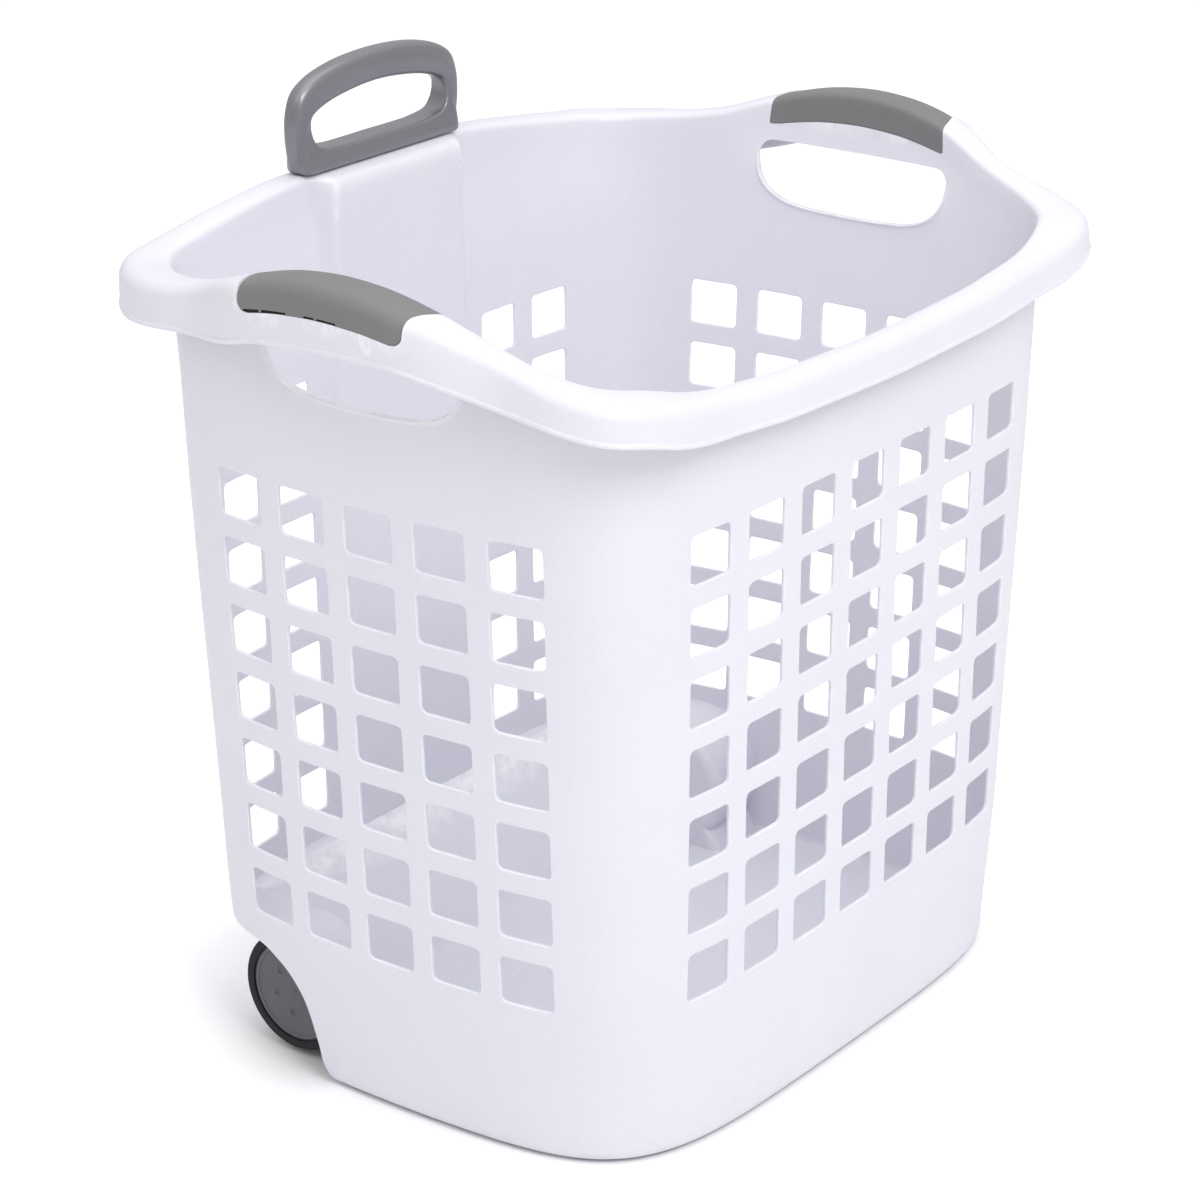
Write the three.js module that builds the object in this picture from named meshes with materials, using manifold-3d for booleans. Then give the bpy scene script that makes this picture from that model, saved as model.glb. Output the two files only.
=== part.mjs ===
// Linen trolley: a moulded open-weave hamper on two wheels with a pull handle
// over the back wall and a soft saddle grip on each side bar.
// Millimetres. +Z up, floor at Z = 0, front wall faces -Y, pull handle at +Y,
// X = 0 is the plane of symmetry, right is +X.
import * as THREE from 'three';
import { mergeVertices } from 'three/addons/utils/BufferGeometryUtils.js';
import Module from 'manifold-3d';

const wasm = await Module();
wasm.setup();
const { Manifold, Mesh } = wasm;

// ---------------------------------------------------------- main dimensions
const WALL = 2.4;               // wall thickness
const GAP = 0.3;                // gap between a part and the seat it lies in
const SIDES = [-1, 1];          // left, right
const PAST_WALLS = 300;         // a distance in X or Y beyond the lower walls
const BELOW_FLOOR = -6;         // where cuts through the underside start
const WELD = 1e-4;              // vertices closer than this are merged

// Walls: distances hold at Z_MID, slopes are widening per mm of height
const Z_MID = 268.4;
const HALF_W_MID = 262.7;
const HALF_W_SLOPE = 0.045;
const FRONT_MID = 192.4;
const FRONT_SLOPE = 0.004;
const BACK_MID = 198.6;
const BACK_SLOPE = 0.012;
const SIDE_BOW = 0.00046;       // outward bow of the side walls, per mm^2
const FRONT_BOW = 0.00008;      // outward bow of front and back walls, per mm^2
const CORNER_POWER = 8.4;       // squareness of the plan outline at the top
const BACK_FLARE = 8;           // how far the back wall flares out below its rim
const LEAN = 6;                 // how far the side bars lean outward
const PANEL_HALF_W = 66;        // raised panel in the back wall
const PANEL_DEPTH = 8;          // how far the panel stands into the basket
const PANEL_EDGE = 12;          // width of the step at each edge of the panel

// Wheels and their pockets
const AXLE_Y = 107.4;
const AXLE_Z = 46.5;
const AXLE_R = 4;
const RUN = 0.09;               // radial running clearance on the axle
const BORE_R = AXLE_R + RUN;
const WHEEL_R = 42.5;
const WHEEL_W = 28;
const WHEEL_OUT = 231;          // outer face of the wheel, |X|
const WHEEL_IN = WHEEL_OUT - WHEEL_W;
const TUNNEL_R = 48.5;          // radius of the wheel tunnel about the axle
const TUNNEL_TOE_Y = 57.5;      // front edge of the tunnel at the floor
const SKIRT_Z = 86;             // lower edge of the back wall above the wheels
const POCKET_X = 198;           // outer face of the inner cheek of a pocket, |X|
const RAMP_Y = 118;             // where the floor between the pockets starts to rise
const RAMP_END = 189;           // and where it meets the back wall
const BOSS_R = 9;               // boss round the axle pin
const BOSS_L = 6;               // how far the boss stands in from the cheek
const BOSS_X = POCKET_X - WALL - BOSS_L;

// Side grips
const GRIP_HALF = 69;           // half length
const GRIP_T = 3.2;             // thickness
const END_GAP = 1;              // gap at each end of a grip
const SEAT = 3.8;               // extra thickness of the bar under the grip

// Pull handle
const HANDLE_HALF = 85;         // half width of the loop
const HANDLE_Y = 215;           // middle plane of the loop
const HANDLE_DEPTH = 16.4;      // size of the loop along Y
const HANDLE_BEVEL = 4.2;
const HANDLE_BASE_Z = 565;      // underside of the foot
const LEG_X = 45;               // centre of a locking leg, |X|
const LEG_HALF_W = 12;
const LEG_HALF_T = 3;

// ------------------------------------------------------------ shape helpers
// 0 below start, 1 above end, eased in between
function smooth(start, end, x) {
  const t = Math.min(1, Math.max(0, (x - start) / (end - start)));
  return t * t * (3 - 2 * t);
}

// value at x in a table of [x, value], eased from row to row
function easedTable(table, x) {
  if (x <= table[0][0]) return table[0][1];
  for (let i = 1; i < table.length; i++) {
    const [x0, value0] = table[i - 1];
    const [x1, value1] = table[i];
    if (x <= x1) return value0 + (value1 - value0) * smooth(x0, x1, x);
  }
  return table[table.length - 1][1];
}

// half an outline, a point on the centre line, and the mirrored half
const symmetric = (half, middle) => [
  ...half, middle, ...half.map(([across, up]) => [-across, up]).reverse(),
];

// a range of |X| as a rising range of X on one side
const span = (side, near, far) => (side > 0 ? [near, far] : [-far, -near]);

// a closed mesh as a solid, with its faces turned outward
function toSolid(geometry) {
  const source = geometry.clone();
  source.deleteAttribute('normal');
  source.deleteAttribute('uv');
  const merged = mergeVertices(source, WELD);
  const positions = new Float32Array(merged.attributes.position.array);
  const index = new Uint32Array(merged.index.array);
  const vertex = (i) => new THREE.Vector3().fromArray(positions, index[i] * 3);
  let volume = 0;
  for (let i = 0; i < index.length; i += 3) {
    volume += vertex(i).dot(vertex(i + 1).cross(vertex(i + 2)));
  }
  if (volume < 0) {
    for (let i = 0; i < index.length; i += 3) {
      [index[i], index[i + 1]] = [index[i + 1], index[i]];
    }
  }
  return new Manifold(new Mesh({ numProp: 3, vertProperties: positions, triVerts: index }));
}

// a solid as a flat-shaded geometry
function toGeometry(solid) {
  const { vertProperties, triVerts } = solid.getMesh();
  const geometry = new THREE.BufferGeometry();
  geometry.setAttribute('position', new THREE.BufferAttribute(vertProperties, 3));
  geometry.setIndex(Array.from(triVerts));
  const flat = mergeVertices(geometry, WELD).toNonIndexed();
  flat.computeVertexNormals();
  return flat;
}

// Solid through a list of closed rings of [x, y, z], capped at both ends.
// A ring that runs out along one side and back along the other (paired) is
// capped by a strip between the two sides, any other by a fan from its middle.
function loft(rings, paired = false) {
  const count = rings[0].length;
  const positions = rings.flat(2);
  const index = [];
  const quad = (a, b, c, d) => index.push(a, b, c, a, c, d);
  for (let i = 0; i < rings.length - 1; i++) {
    for (let j = 0; j < count; j++) {
      const next = (j + 1) % count;
      const row = i * count;
      quad(row + j, row + next, row + count + next, row + count + j);
    }
  }
  const stripCap = (row, flip) => {
    for (let j = 0; j < count / 2 - 1; j++) {
      const near = row + j;
      const far = row + count - 1 - j;
      if (flip) quad(near, far, far - 1, near + 1);
      else quad(near, near + 1, far - 1, far);
    }
  };
  const fanCap = (row, ring, flip) => {
    const middle = [0, 0, 0];
    for (const point of ring) {
      for (let axis = 0; axis < 3; axis++) middle[axis] += point[axis] / count;
    }
    const hub = positions.length / 3;
    positions.push(...middle);
    for (let j = 0; j < count; j++) {
      const next = (j + 1) % count;
      if (flip) index.push(hub, row + next, row + j);
      else index.push(hub, row + j, row + next);
    }
  };
  for (const i of [0, rings.length - 1]) {
    if (paired) stripCap(i * count, i === 0);
    else fanCap(i * count, rings[i], i === 0);
  }
  const geometry = new THREE.BufferGeometry();
  geometry.setAttribute('position', new THREE.BufferAttribute(new Float32Array(positions), 3));
  geometry.setIndex(index);
  return toSolid(geometry);
}

// prism along X from a list of [y, z]
function prismX(points, x0, x1) {
  const shape = new THREE.Shape(points.map(([y, z]) => new THREE.Vector2(y, z)));
  const geometry = new THREE.ExtrudeGeometry(shape, { depth: x1 - x0, bevelEnabled: false });
  // (shape x, shape y, depth) -> (y, z, x)
  geometry.applyMatrix4(new THREE.Matrix4().set(0, 0, 1, x0, 1, 0, 0, 0, 0, 1, 0, 0, 0, 0, 0, 1));
  return toSolid(geometry);
}

function box(x0, x1, y0, y1, z0, z1) {
  const geometry = new THREE.BoxGeometry(x1 - x0, y1 - y0, z1 - z0);
  geometry.translate((x0 + x1) / 2, (y0 + y1) / 2, (z0 + z1) / 2);
  return toSolid(geometry);
}

function rodX(radius, x0, x1, y, z, segments = 20) {
  const geometry = new THREE.CylinderGeometry(radius, radius, x1 - x0, segments);
  geometry.rotateZ(-Math.PI / 2);
  geometry.translate((x0 + x1) / 2, y, z);
  return toSolid(geometry);
}

// solid of revolution about the wheel axis from a closed profile of [radius, x]
function latheX(profile, segments) {
  const points = [...profile, profile[0]].map(([radius, x]) => new THREE.Vector2(radius, x));
  const geometry = new THREE.LatheGeometry(points, segments);
  geometry.rotateZ(-Math.PI / 2);
  geometry.translate(0, AXLE_Y, AXLE_Z);
  return toSolid(geometry);
}

// ------------------------------------------------------------- plan outline
const REF_Z = 540;              // height at which rim stations are placed

// [x, y] on the plan outline in direction angle at height z, moved out by offset
function outline(angle, z, offset) {
  const cos = Math.cos(angle);
  const sin = Math.sin(angle);
  const rise = z - Z_MID;
  const halfWidth = HALF_W_MID + HALF_W_SLOPE * rise + offset;
  const depth = (sin < 0 ? FRONT_MID + FRONT_SLOPE * rise : BACK_MID + BACK_SLOPE * rise) + offset;
  // the corners get rounder towards the floor
  const power = CORNER_POWER - 1.6 * (1 - smooth(100, 460, z)) - 1.2 * (1 - smooth(0, 130, z));
  // radius by bisection
  let low = 80;
  let high = 420;
  for (let i = 0; i < 44; i++) {
    const radius = (low + high) / 2;
    const x = radius * cos;
    const y = radius * sin;
    const bowedWidth = halfWidth - SIDE_BOW * y * y;
    const bowedDepth = depth - FRONT_BOW * x * x;
    const reach = Math.pow(Math.abs(x) / bowedWidth, power)
      + Math.pow(Math.abs(y) / bowedDepth, power);
    if (reach > 1) high = radius;
    else low = radius;
  }
  return [low * cos, low * sin];
}

const sideShare = (x) => smooth(215, 262, Math.abs(x)); // 1 on the side walls
const flareShare = (z) => smooth(470, 556, z);          // 1 at the top of the back flare
const leanAt = (y, z) => LEAN * (1 - smooth(60, 120, Math.abs(y))) * smooth(505, 555, z);

// inward step of the outline at the raised panel of the back wall
function panelStep(x, y, z) {
  if (y <= 0) return 0;
  const half = PANEL_HALF_W + 0.014 * (z - 500);
  return (PANEL_DEPTH + BACK_FLARE * flareShare(z))
    * (1 - smooth(half, half + PANEL_EDGE, Math.abs(x)));
}

// Stations round the basket: dense at the corners, between the columns on the
// flat walls, and at both edges of the raised panel
const STATION_SIDE_X = 262;
const STATION_SIDE_Y = [-135, -108, -81, -54, -27, 0, 27, 54, 81, 108, 135];
const STATION_WALL_Y = 192;
const STATION_BACK_X = symmetric(
  [183, 155, 126, 100, 80, 75, 70, 65, 40, 14].map((x) => [x, STATION_WALL_Y]), null,
).filter(Boolean);
const STATION_FRONT_X = [-183, -140, -84, -28, 28, 84, 140, 183];
// [x, y] round the back right corner, from the side wall to the back wall
const STATION_CORNER = [[252, 158], [243, 170], [232, 178], [218, 184], [203, 188]];

// directions of the stations, rising anticlockwise seen from above
function stationAngles() {
  const side = (sign) => STATION_SIDE_Y.map((y) => [sign * STATION_SIDE_X, y]);
  const corner = (signX, signY) => STATION_CORNER.map(([x, y]) => [signX * x, signY * y]);
  const points = [
    ...side(1), ...corner(1, 1),
    ...STATION_BACK_X, ...corner(-1, 1).reverse(),
    ...side(-1).reverse(), ...corner(-1, -1),
    ...STATION_FRONT_X.map((x) => [x, -STATION_WALL_Y]), ...corner(1, -1).reverse(),
  ];
  let previous = -Infinity;
  return points.map(([x, y]) => {
    let angle = Math.atan2(y, x);
    while (angle <= previous) angle += 2 * Math.PI;
    previous = angle;
    return angle;
  });
}
const STATIONS = stationAngles();

// ---------------------------------------------------------------------- rim
// height of the inner rim edge on the front and back walls: [|x|, z]
const FRONT_RIM = [[0, 509.5], [110, 511.5], [185, 518], [225, 527], [275, 540]];
const BACK_RIM = [[0, 563], [84, 563], [130, 557.5], [190, 549], [275, 544]];
// the same on the side walls: [y, z]
const SIDE_RIM = [
  [-200, 526], [-172, 530], [-138, 539], [-108, 550], [-72, 568], [-36, 576], [0, 578.5],
  [36, 576], [72, 568], [108, 554], [140, 548], [200, 545],
];
// lower edge of the rim's outer lip on the side walls: [y, z]
const SIDE_LIP = [
  [-200, 503], [-172, 506], [-140, 514], [-105, 519], [-84, 526], [-58, 538], [0, 537],
  [47, 535], [76, 525], [95, 521.5], [130, 520], [160, 517], [200, 516],
];

// inner edge height, overhang and lower lip height of the rim at a wall point
function rimAt(x, y) {
  const absX = Math.abs(x);
  const absY = Math.abs(y);
  const isFront = y < 0;
  const blend = smooth(205, 255, absX);
  const flatTop = easedTable(isFront ? FRONT_RIM : BACK_RIM, absX);
  const top = flatTop * (1 - blend) + easedTable(SIDE_RIM, y) * blend;
  const corner = smooth(150, 240, absX) * smooth(95, 175, absY);
  const sideBar = sideShare(x) * (1 - smooth(50, 125, absY));
  const back = y > 0 ? 1 - smooth(150, 240, absX) : 0;
  const overhang = 18 + corner * (isFront ? 11 : 8) + 12 * sideBar + 6 * back;
  const flatLip = top - (isFront ? 24 : 26);
  const lip = flatLip * (1 - blend) + easedTable(SIDE_LIP, y) * blend;
  return { top, overhang, lip };
}

// the outline does not widen above this height, just below the rim edge
const outlineZ = (z, top) => Math.min(z, top - 6);

// ------------------------------------------------------------- basket shell
// one vertical section of the basket in direction angle, from the middle of
// the inner floor over the rim to the middle of the underside
function section(angle) {
  const [refX, refY] = outline(angle, REF_Z, 0);
  const { top, overhang: over, lip } = rimAt(refX, refY);
  const onSide = sideShare(refX);
  const flare = refY > 0 ? BACK_FLARE * (1 - smooth(205, 262, Math.abs(refX))) : 0;
  // panel is the share of the raised panel's step that the point takes
  const point = (offset, z, panel = 1) => {
    const [x, y] = outline(angle, outlineZ(z, top), offset + flare * flareShare(z));
    return [x + Math.sign(x) * onSide * leanAt(refY, z), y - panel * panelStep(x, y, z), z];
  };
  // the bar is thicker where the grip is let into it
  const seat = SEAT * onSide * (1 - smooth(80, 94, Math.abs(refY)));
  return [
    // inner floor and wall
    point(-WALL - 34, WALL), point(-WALL - 8, WALL),
    point(-WALL - 2, WALL + 3), point(-WALL, WALL + 9),
    point(-WALL, 230), point(-WALL, 470), point(-WALL, top - 20),
    // top of the rim, outward to the lip
    point(-WALL + 0.4, top - 5, 0.9), point(-WALL + 2.6, top - 1, 0.6),
    point(4, top + 1, 0.3), point(over * 0.6, top + 1.2, 0), point(over - 4, top - 1.2, 0),
    point(over - 0.8, top - 5.5, 0), point(over, top - 12, 0),
    point(over + 1.4, lip, 0), point(over - 0.8, lip, 0),
    // underside of the rim, back to the wall
    point(over - 2.6 - seat, top - 12 - seat, 0), point(over - 5.6 - seat, top - 4.2 - seat, 0),
    point(over * 0.6, top - 1.6 - seat, 0), point(5 + seat * 0.8, top - 1.8 - seat, 0.3),
    point(1.6 + seat, top - 4.5 - seat, 0.7),
    // outer wall and underside
    point(seat, top - 22 - seat), point(0, 470), point(0, 230),
    point(0, 9), point(-2.4, 2.6), point(-9, 0), point(-36, 0),
  ];
}

// rings run round the basket, from the inner floor to the underside
function basketShell() {
  const sections = STATIONS.map(section);
  return loft(sections[0].map((_, i) => sections.map((points) => points[i])));
}

// solid inside the lower wall, from z0 up, for trimming parts to the inside
const INSIDE_TOP = 110;
function insideSolid(z0, offset) {
  return loft([z0, INSIDE_TOP].map((z) => STATIONS.map((angle) => {
    const [x, y] = outline(angle, Math.max(z, 0), offset);
    return [x, y - panelStep(x, y, z), z];
  })));
}

// ------------------------------------------------------------ wheel pockets
// outline of the wheel arch in the outer walls: [y, z]
const ARCH = [
  [56, BELOW_FLOOR], [TUNNEL_TOE_Y, 0], [62.7, 7.1], [67.5, 14.7], [69.8, 23.8], [72.7, 33.3],
  [76.5, 44.7], [80.8, 54.6], [86.5, 63.2], [96.4, 73.2], [106.4, 79.3], [117.3, 84.2],
  [128, SKIRT_Z], [PAST_WALLS, SKIRT_Z], [PAST_WALLS, BELOW_FLOOR],
];

// circle about the axle joined to a flat roof that runs out of the back
function tunnelProfile(grow) {
  const radius = TUNNEL_R + grow;
  const toe = TUNNEL_TOE_Y - grow;
  const points = [];
  for (let i = 0; i <= 14; i++) {
    const angle = Math.PI / 2 + (i / 14) * (Math.PI * 0.70);
    points.push([AXLE_Y + radius * Math.cos(angle), AXLE_Z + radius * Math.sin(angle)]);
  }
  return [
    ...points, [toe + 8, 16], [toe, 0], [toe - 2, BELOW_FLOOR],
    [PAST_WALLS, BELOW_FLOOR], [PAST_WALLS, AXLE_Z + radius],
  ];
}

// floor between the wheel pockets, rising to the back wall so that the basket
// can be tipped onto its wheels
function rampFloor() {
  // wall thickness measured along Y through the slope
  const slopeWall = WALL * Math.hypot(RAMP_END - RAMP_Y, SKIRT_Z) / SKIRT_Z;
  return prismX([
    [RAMP_Y - 12, 0], [RAMP_Y, 0], [RAMP_END, SKIRT_Z], [PAST_WALLS, SKIRT_Z],
    [PAST_WALLS, SKIRT_Z + WALL], [RAMP_END - slopeWall + 2.2, SKIRT_Z + WALL],
    [RAMP_Y - slopeWall + 2, WALL], [RAMP_Y - 12, WALL],
  ], -POCKET_X, POCKET_X);
}

// space under the ramp
const rampUnderside = () => prismX([
  [RAMP_Y, BELOW_FLOOR], [RAMP_Y, 0], [RAMP_END, SKIRT_Z],
  [PAST_WALLS, SKIRT_Z], [PAST_WALLS, BELOW_FLOOR],
], -POCKET_X, POCKET_X);

function addPockets(shell) {
  const inside = insideSolid(-6, -WALL * 0.5);
  const underFloor = box(-PAST_WALLS, PAST_WALLS, 0, PAST_WALLS, -20, 0);
  let basket = shell.add(rampFloor().intersect(inside));
  for (const side of SIDES) {
    const tunnel = prismX(tunnelProfile(WALL), ...span(side, POCKET_X - WALL, PAST_WALLS));
    basket = basket.add(tunnel.intersect(inside).subtract(underFloor))
      .add(rodX(BOSS_R, ...span(side, BOSS_X, POCKET_X - 1), AXLE_Y, AXLE_Z));
  }
  basket = basket.subtract(rampUnderside());
  const hollowLimit = insideSolid(-8, -WALL);
  for (const side of SIDES) {
    const outward = span(side, POCKET_X, PAST_WALLS);
    basket = basket.subtract(prismX(ARCH, ...outward))
      .subtract(prismX(tunnelProfile(0), ...outward).intersect(hollowLimit))
      .subtract(rodX(BORE_R, ...span(side, BOSS_X - 1, 215), AXLE_Y, AXLE_Z));
  }
  return basket;
}

// ----------------------------------------------------------------- openings
const ROWS = 7;
const ROW_Z0 = 125.9;           // centre of the lowest row
const PITCH_Z = 47.5;
const HOLE_W = 37.5;
const HOLE_H = 32.5;
const PITCH_X = 55.9;           // column pitch on front and back at Z_MID
const PITCH_Y = 54.1;           // column pitch on the sides at Z_MID
// relative growth of the column pitches per mm of height
const PITCH_X_GROW = 0.0058 / PITCH_Z;
const PITCH_Y_GROW = 0.0063 / PITCH_Z;

function cutOpenings(body) {
  let basket = body;
  for (let row = 0; row < ROWS; row++) {
    const z = ROW_Z0 + row * PITCH_Z;
    const height = [z - HOLE_H / 2, z + HOLE_H / 2];
    const width = (middle) => [middle - HOLE_W / 2, middle + HOLE_W / 2];
    const pitchX = PITCH_X * (1 + PITCH_X_GROW * (z - Z_MID));
    const pitchY = PITCH_Y * (1 + PITCH_Y_GROW * (z - Z_MID));
    for (let column = -3; column <= 3; column++) {
      const across = width(column * pitchX);
      basket = basket.subtract(box(...across, -220, -165, ...height));
      // the raised panel of the back wall stays closed
      if (Math.abs(column) > 1) basket = basket.subtract(box(...across, 165, 225, ...height));
    }
    for (let column = -2; column <= 2; column++) {
      const along = width(column * pitchY);
      for (const side of SIDES) {
        basket = basket.subtract(box(...span(side, 225, 290), ...along, ...height));
      }
    }
  }
  return basket;
}

// D-shaped handhold under the side bar
const HANDHOLD_TOP_Z = 538.5;
const HANDHOLD_TOP_HALF = 74;
const HANDHOLD_TOP_STEPS = 6;
// one half of the lower edge: [y, z]
const HANDHOLD_LOW = [
  [79, 534], [79, 524], [76, 513], [69, 504], [57, 497.6], [42, 494.6], [20, 493.2],
];
function handholdOutline() {
  const top = [];
  for (let i = 0; i <= HANDHOLD_TOP_STEPS; i++) {
    const y = -HANDHOLD_TOP_HALF + (2 * HANDHOLD_TOP_HALF * i) / HANDHOLD_TOP_STEPS;
    top.push([y, HANDHOLD_TOP_Z]);
  }
  return [...top, ...symmetric(HANDHOLD_LOW, [0, 493])];
}

// --------------------------------------------------------------- side grips
// Saddle over the side bar, also used enlarged to cut the seat it lies in.
// out and into are how far its two faces lie outside and inside the grip's
// outer surface; lower is how much further down its legs reach.
const GRIP_STEPS = 14;
const GRIP_REF_X = 272;
function saddle(side, { half, out, into, lower }) {
  // a point at offset + share * overhang from the wall, drop above the rim edge
  const point = (y, offset, share, drop) => {
    const angle = Math.atan2(y, side * GRIP_REF_X);
    const { top, overhang } = rimAt(...outline(angle, REF_Z, 0));
    const z = top + drop;
    const [x] = outline(angle, outlineZ(z, top), offset + share * overhang);
    return [x + side * leanAt(y, z), y, z];
  };
  const rings = [];
  for (let i = 0; i <= GRIP_STEPS; i++) {
    const y = -half + (2 * half * i) / GRIP_STEPS;
    const endShare = (y / half) ** 2;
    const outerLeg = 20 - 2 * endShare + lower;
    const innerLeg = 21 - 3 * endShare + lower;
    // from the inner leg to the outer leg, which is the shorter one along Y
    const face = (grow) => [
      point(y * 1.06, -WALL - grow, 0, -innerLeg),
      point(y * 1.04, -WALL + 0.4 - grow, 0, -6),
      point(y * 1.02, -WALL + 3.2 - grow * 0.7, 0, -0.6 + grow * 0.7),
      point(y, 5, 0, 1.4 + grow),
      point(y * 0.98, 0, 0.55, 1.8 + grow),
      point(y * 0.95, -5 + grow * 0.5, 1, -0.8 + grow * 0.85),
      point(y * 0.93, -0.6 + grow, 1, -6),
      point(y * 0.89, 0.4 + grow, 1, -outerLeg),
    ];
    rings.push([...face(out), ...face(-into).reverse()]);
  }
  return loft(rings, true);
}
const sideGrip = (side) => saddle(side, { half: GRIP_HALF, out: 0, into: GRIP_T, lower: 0 });
const gripSeat = (side) => saddle(side, {
  half: GRIP_HALF + END_GAP, out: 4, into: GRIP_T + GAP, lower: GAP,
});

// slot in the rim for a leg of the pull handle and its barb
const legSlot = (side) => {
  const x = side * LEG_X;
  const half = LEG_HALF_W + GAP;
  return box(x - half, x + half, HANDLE_Y - LEG_HALF_T - GAP, HANDLE_Y + 5.9, 540, 580);
};

function basketBody() {
  let basket = cutOpenings(addPockets(basketShell()));
  for (const side of SIDES) {
    basket = basket.subtract(prismX(handholdOutline(), ...span(side, 258, 293)));
  }
  for (const side of SIDES) {
    basket = basket.subtract(gripSeat(side)).subtract(legSlot(side));
  }
  return basket;
}

// -------------------------------------------------------------- pull handle
// control points are [x, height above the underside of the foot]
const LOOP_OUTER = symmetric([
  [HANDLE_HALF - 1, 3], [HANDLE_HALF + 1, 24], [HANDLE_HALF + 0.5, 40],
  [HANDLE_HALF - 4, 55], [HANDLE_HALF - 17, 63.5], [HANDLE_HALF - 44, 67.6],
], [0, 68.6]);
const LOOP_INNER = [
  ...symmetric([[67, 18], [71.5, 27], [69, 37], [55, 43], [28, 46]], [0, 46.8]),
  [-50, 14.2], [0, 13.6], [50, 14.2],
];
// sections of the flared foot: [height, size along Y, inset at each end]
const FOOT = [[0, 26.4, 2.6], [3, 27.2, 2], [9, 24, 1.4], [18, 19, 1.2], [28, 16.4, 3], [36, 12, 5]];

function smoothCurve(points, closed, divisions) {
  const controls = points.map(([x, height]) => new THREE.Vector3(x, HANDLE_BASE_Z + height, 0));
  const curve = new THREE.CatmullRomCurve3(controls, closed, 'centripetal');
  return curve.getPoints(divisions).map(({ x, y }) => new THREE.Vector2(x, y));
}

// shape drawn in (x, z), extruded towards -Y from startY
function extrudeXZ(shape, startY, options) {
  const geometry = new THREE.ExtrudeGeometry(shape, options);
  return toSolid(geometry.applyMatrix4(
    new THREE.Matrix4().set(1, 0, 0, 0, 0, 0, -1, startY, 0, 1, 0, 0, 0, 0, 0, 1),
  ));
}

function handleLoop(opening) {
  const shape = new THREE.Shape(smoothCurve(LOOP_OUTER, false, 40));
  shape.holes.push(new THREE.Path(opening));
  return extrudeXZ(shape, HANDLE_Y + HANDLE_DEPTH / 2 - HANDLE_BEVEL, {
    depth: HANDLE_DEPTH - 2 * HANDLE_BEVEL,
    bevelThickness: HANDLE_BEVEL,
    bevelSize: HANDLE_BEVEL,
    bevelOffset: -HANDLE_BEVEL,
    bevelSegments: 2,
  });
}

// flared foot that sits over the rim
function handleFoot() {
  return loft(FOOT.map(([height, depth, inset]) => {
    const halfX = HANDLE_HALF - 1.2 - inset;
    const halfY = depth / 2;
    const radius = Math.min(5, halfY - 1);
    const middleY = HANDLE_Y + 1.5 * (1 - smooth(0, 22, height));
    const ring = [];
    for (const [signX, signY, start] of [[1, 1, 0], [-1, 1, 90], [-1, -1, 180], [1, -1, 270]]) {
      for (const turn of [0, 30, 60, 90]) {
        const angle = (start + turn) * Math.PI / 180;
        ring.push([
          signX * (halfX - radius) + radius * Math.cos(angle),
          middleY + signY * (halfY - radius) + radius * Math.sin(angle),
          HANDLE_BASE_Z + height,
        ]);
      }
    }
    return ring;
  }));
}

// locking leg that passes down through the rim, with a barb on its back face
function handleLeg(side) {
  const base = HANDLE_BASE_Z;
  const width = [side * LEG_X - LEG_HALF_W, side * LEG_X + LEG_HALF_W];
  const leg = box(...width, HANDLE_Y - LEG_HALF_T, HANDLE_Y + LEG_HALF_T, base - 16, base + 4);
  const barb = [[HANDLE_Y + 2.5, base - 8], [HANDLE_Y + 5.5, base - 8], [HANDLE_Y + 2.5, base - 15]];
  return leg.add(prismX(barb, ...width));
}

function pullHandle() {
  const opening = smoothCurve(LOOP_INNER, true, 32).slice(0, -1);
  const openingCut = extrudeXZ(new THREE.Shape(opening), HANDLE_Y + 40, {
    depth: 80, bevelEnabled: false,
  });
  let handle = handleLoop(opening).add(handleFoot()).subtract(openingCut);
  for (const side of SIDES) handle = handle.add(handleLeg(side));
  return handle;
}

// ------------------------------------------------- wheels, drawn for +X side
const TYRE_IN_R = WHEEL_R - 2.9;
const CORE_R = TYRE_IN_R - GAP;
const CAP_R = WHEEL_R - 7;
const HUB_IN = 200.9;           // inner end of the hub
const WASHER_IN = 198.9;        // inner face of the washer
const WASHER_OUT = 200.3;
const PIN_HEAD_X = BOSS_X - GAP; // seat face of the pin head
const PIN_END = WHEEL_OUT - 5.2;
const PIN_HEAD_R = 7.4;
const WHEEL_SEGMENTS = 36;
const SMALL_SEGMENTS = 20;      // pin, washer and push nut
const SPOKES = 6;
const DIMPLES = 6;
const DIMPLE_START = -20;       // angle of the first dimple, degrees
const DIMPLE_CIRCLE_R = 17.5;

function wheelCore() {
  let core = latheX([
    [BORE_R, HUB_IN], [9, HUB_IN], [9, WHEEL_OUT - 11], [14.5, WHEEL_OUT - 11],
    [16, WHEEL_OUT - 7.8], [CORE_R - 3.2, WHEEL_OUT - 6.2], [CORE_R - 3.2, WHEEL_IN + 0.8],
    [CORE_R, WHEEL_IN + 0.8], [CORE_R, WHEEL_OUT - 0.9], [CORE_R - 1.1, WHEEL_OUT],
    [CORE_R - 3.4, WHEEL_OUT], [CORE_R - 3.4, WHEEL_OUT - 2.6], [13, WHEEL_OUT - 4.6],
    [12, WHEEL_OUT - 7.5], [BORE_R, WHEEL_OUT - 7.5],
  ], WHEEL_SEGMENTS);
  // spokes on the inner side
  for (let i = 0; i < SPOKES; i++) {
    const spoke = new THREE.BoxGeometry(16, 29, 2.2);
    spoke.translate(WHEEL_IN + 10.5, 22, 0);
    spoke.rotateX((i * 2 * Math.PI) / SPOKES);
    spoke.translate(0, AXLE_Y, AXLE_Z);
    core = core.add(toSolid(spoke));
  }
  return core;
}

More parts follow.
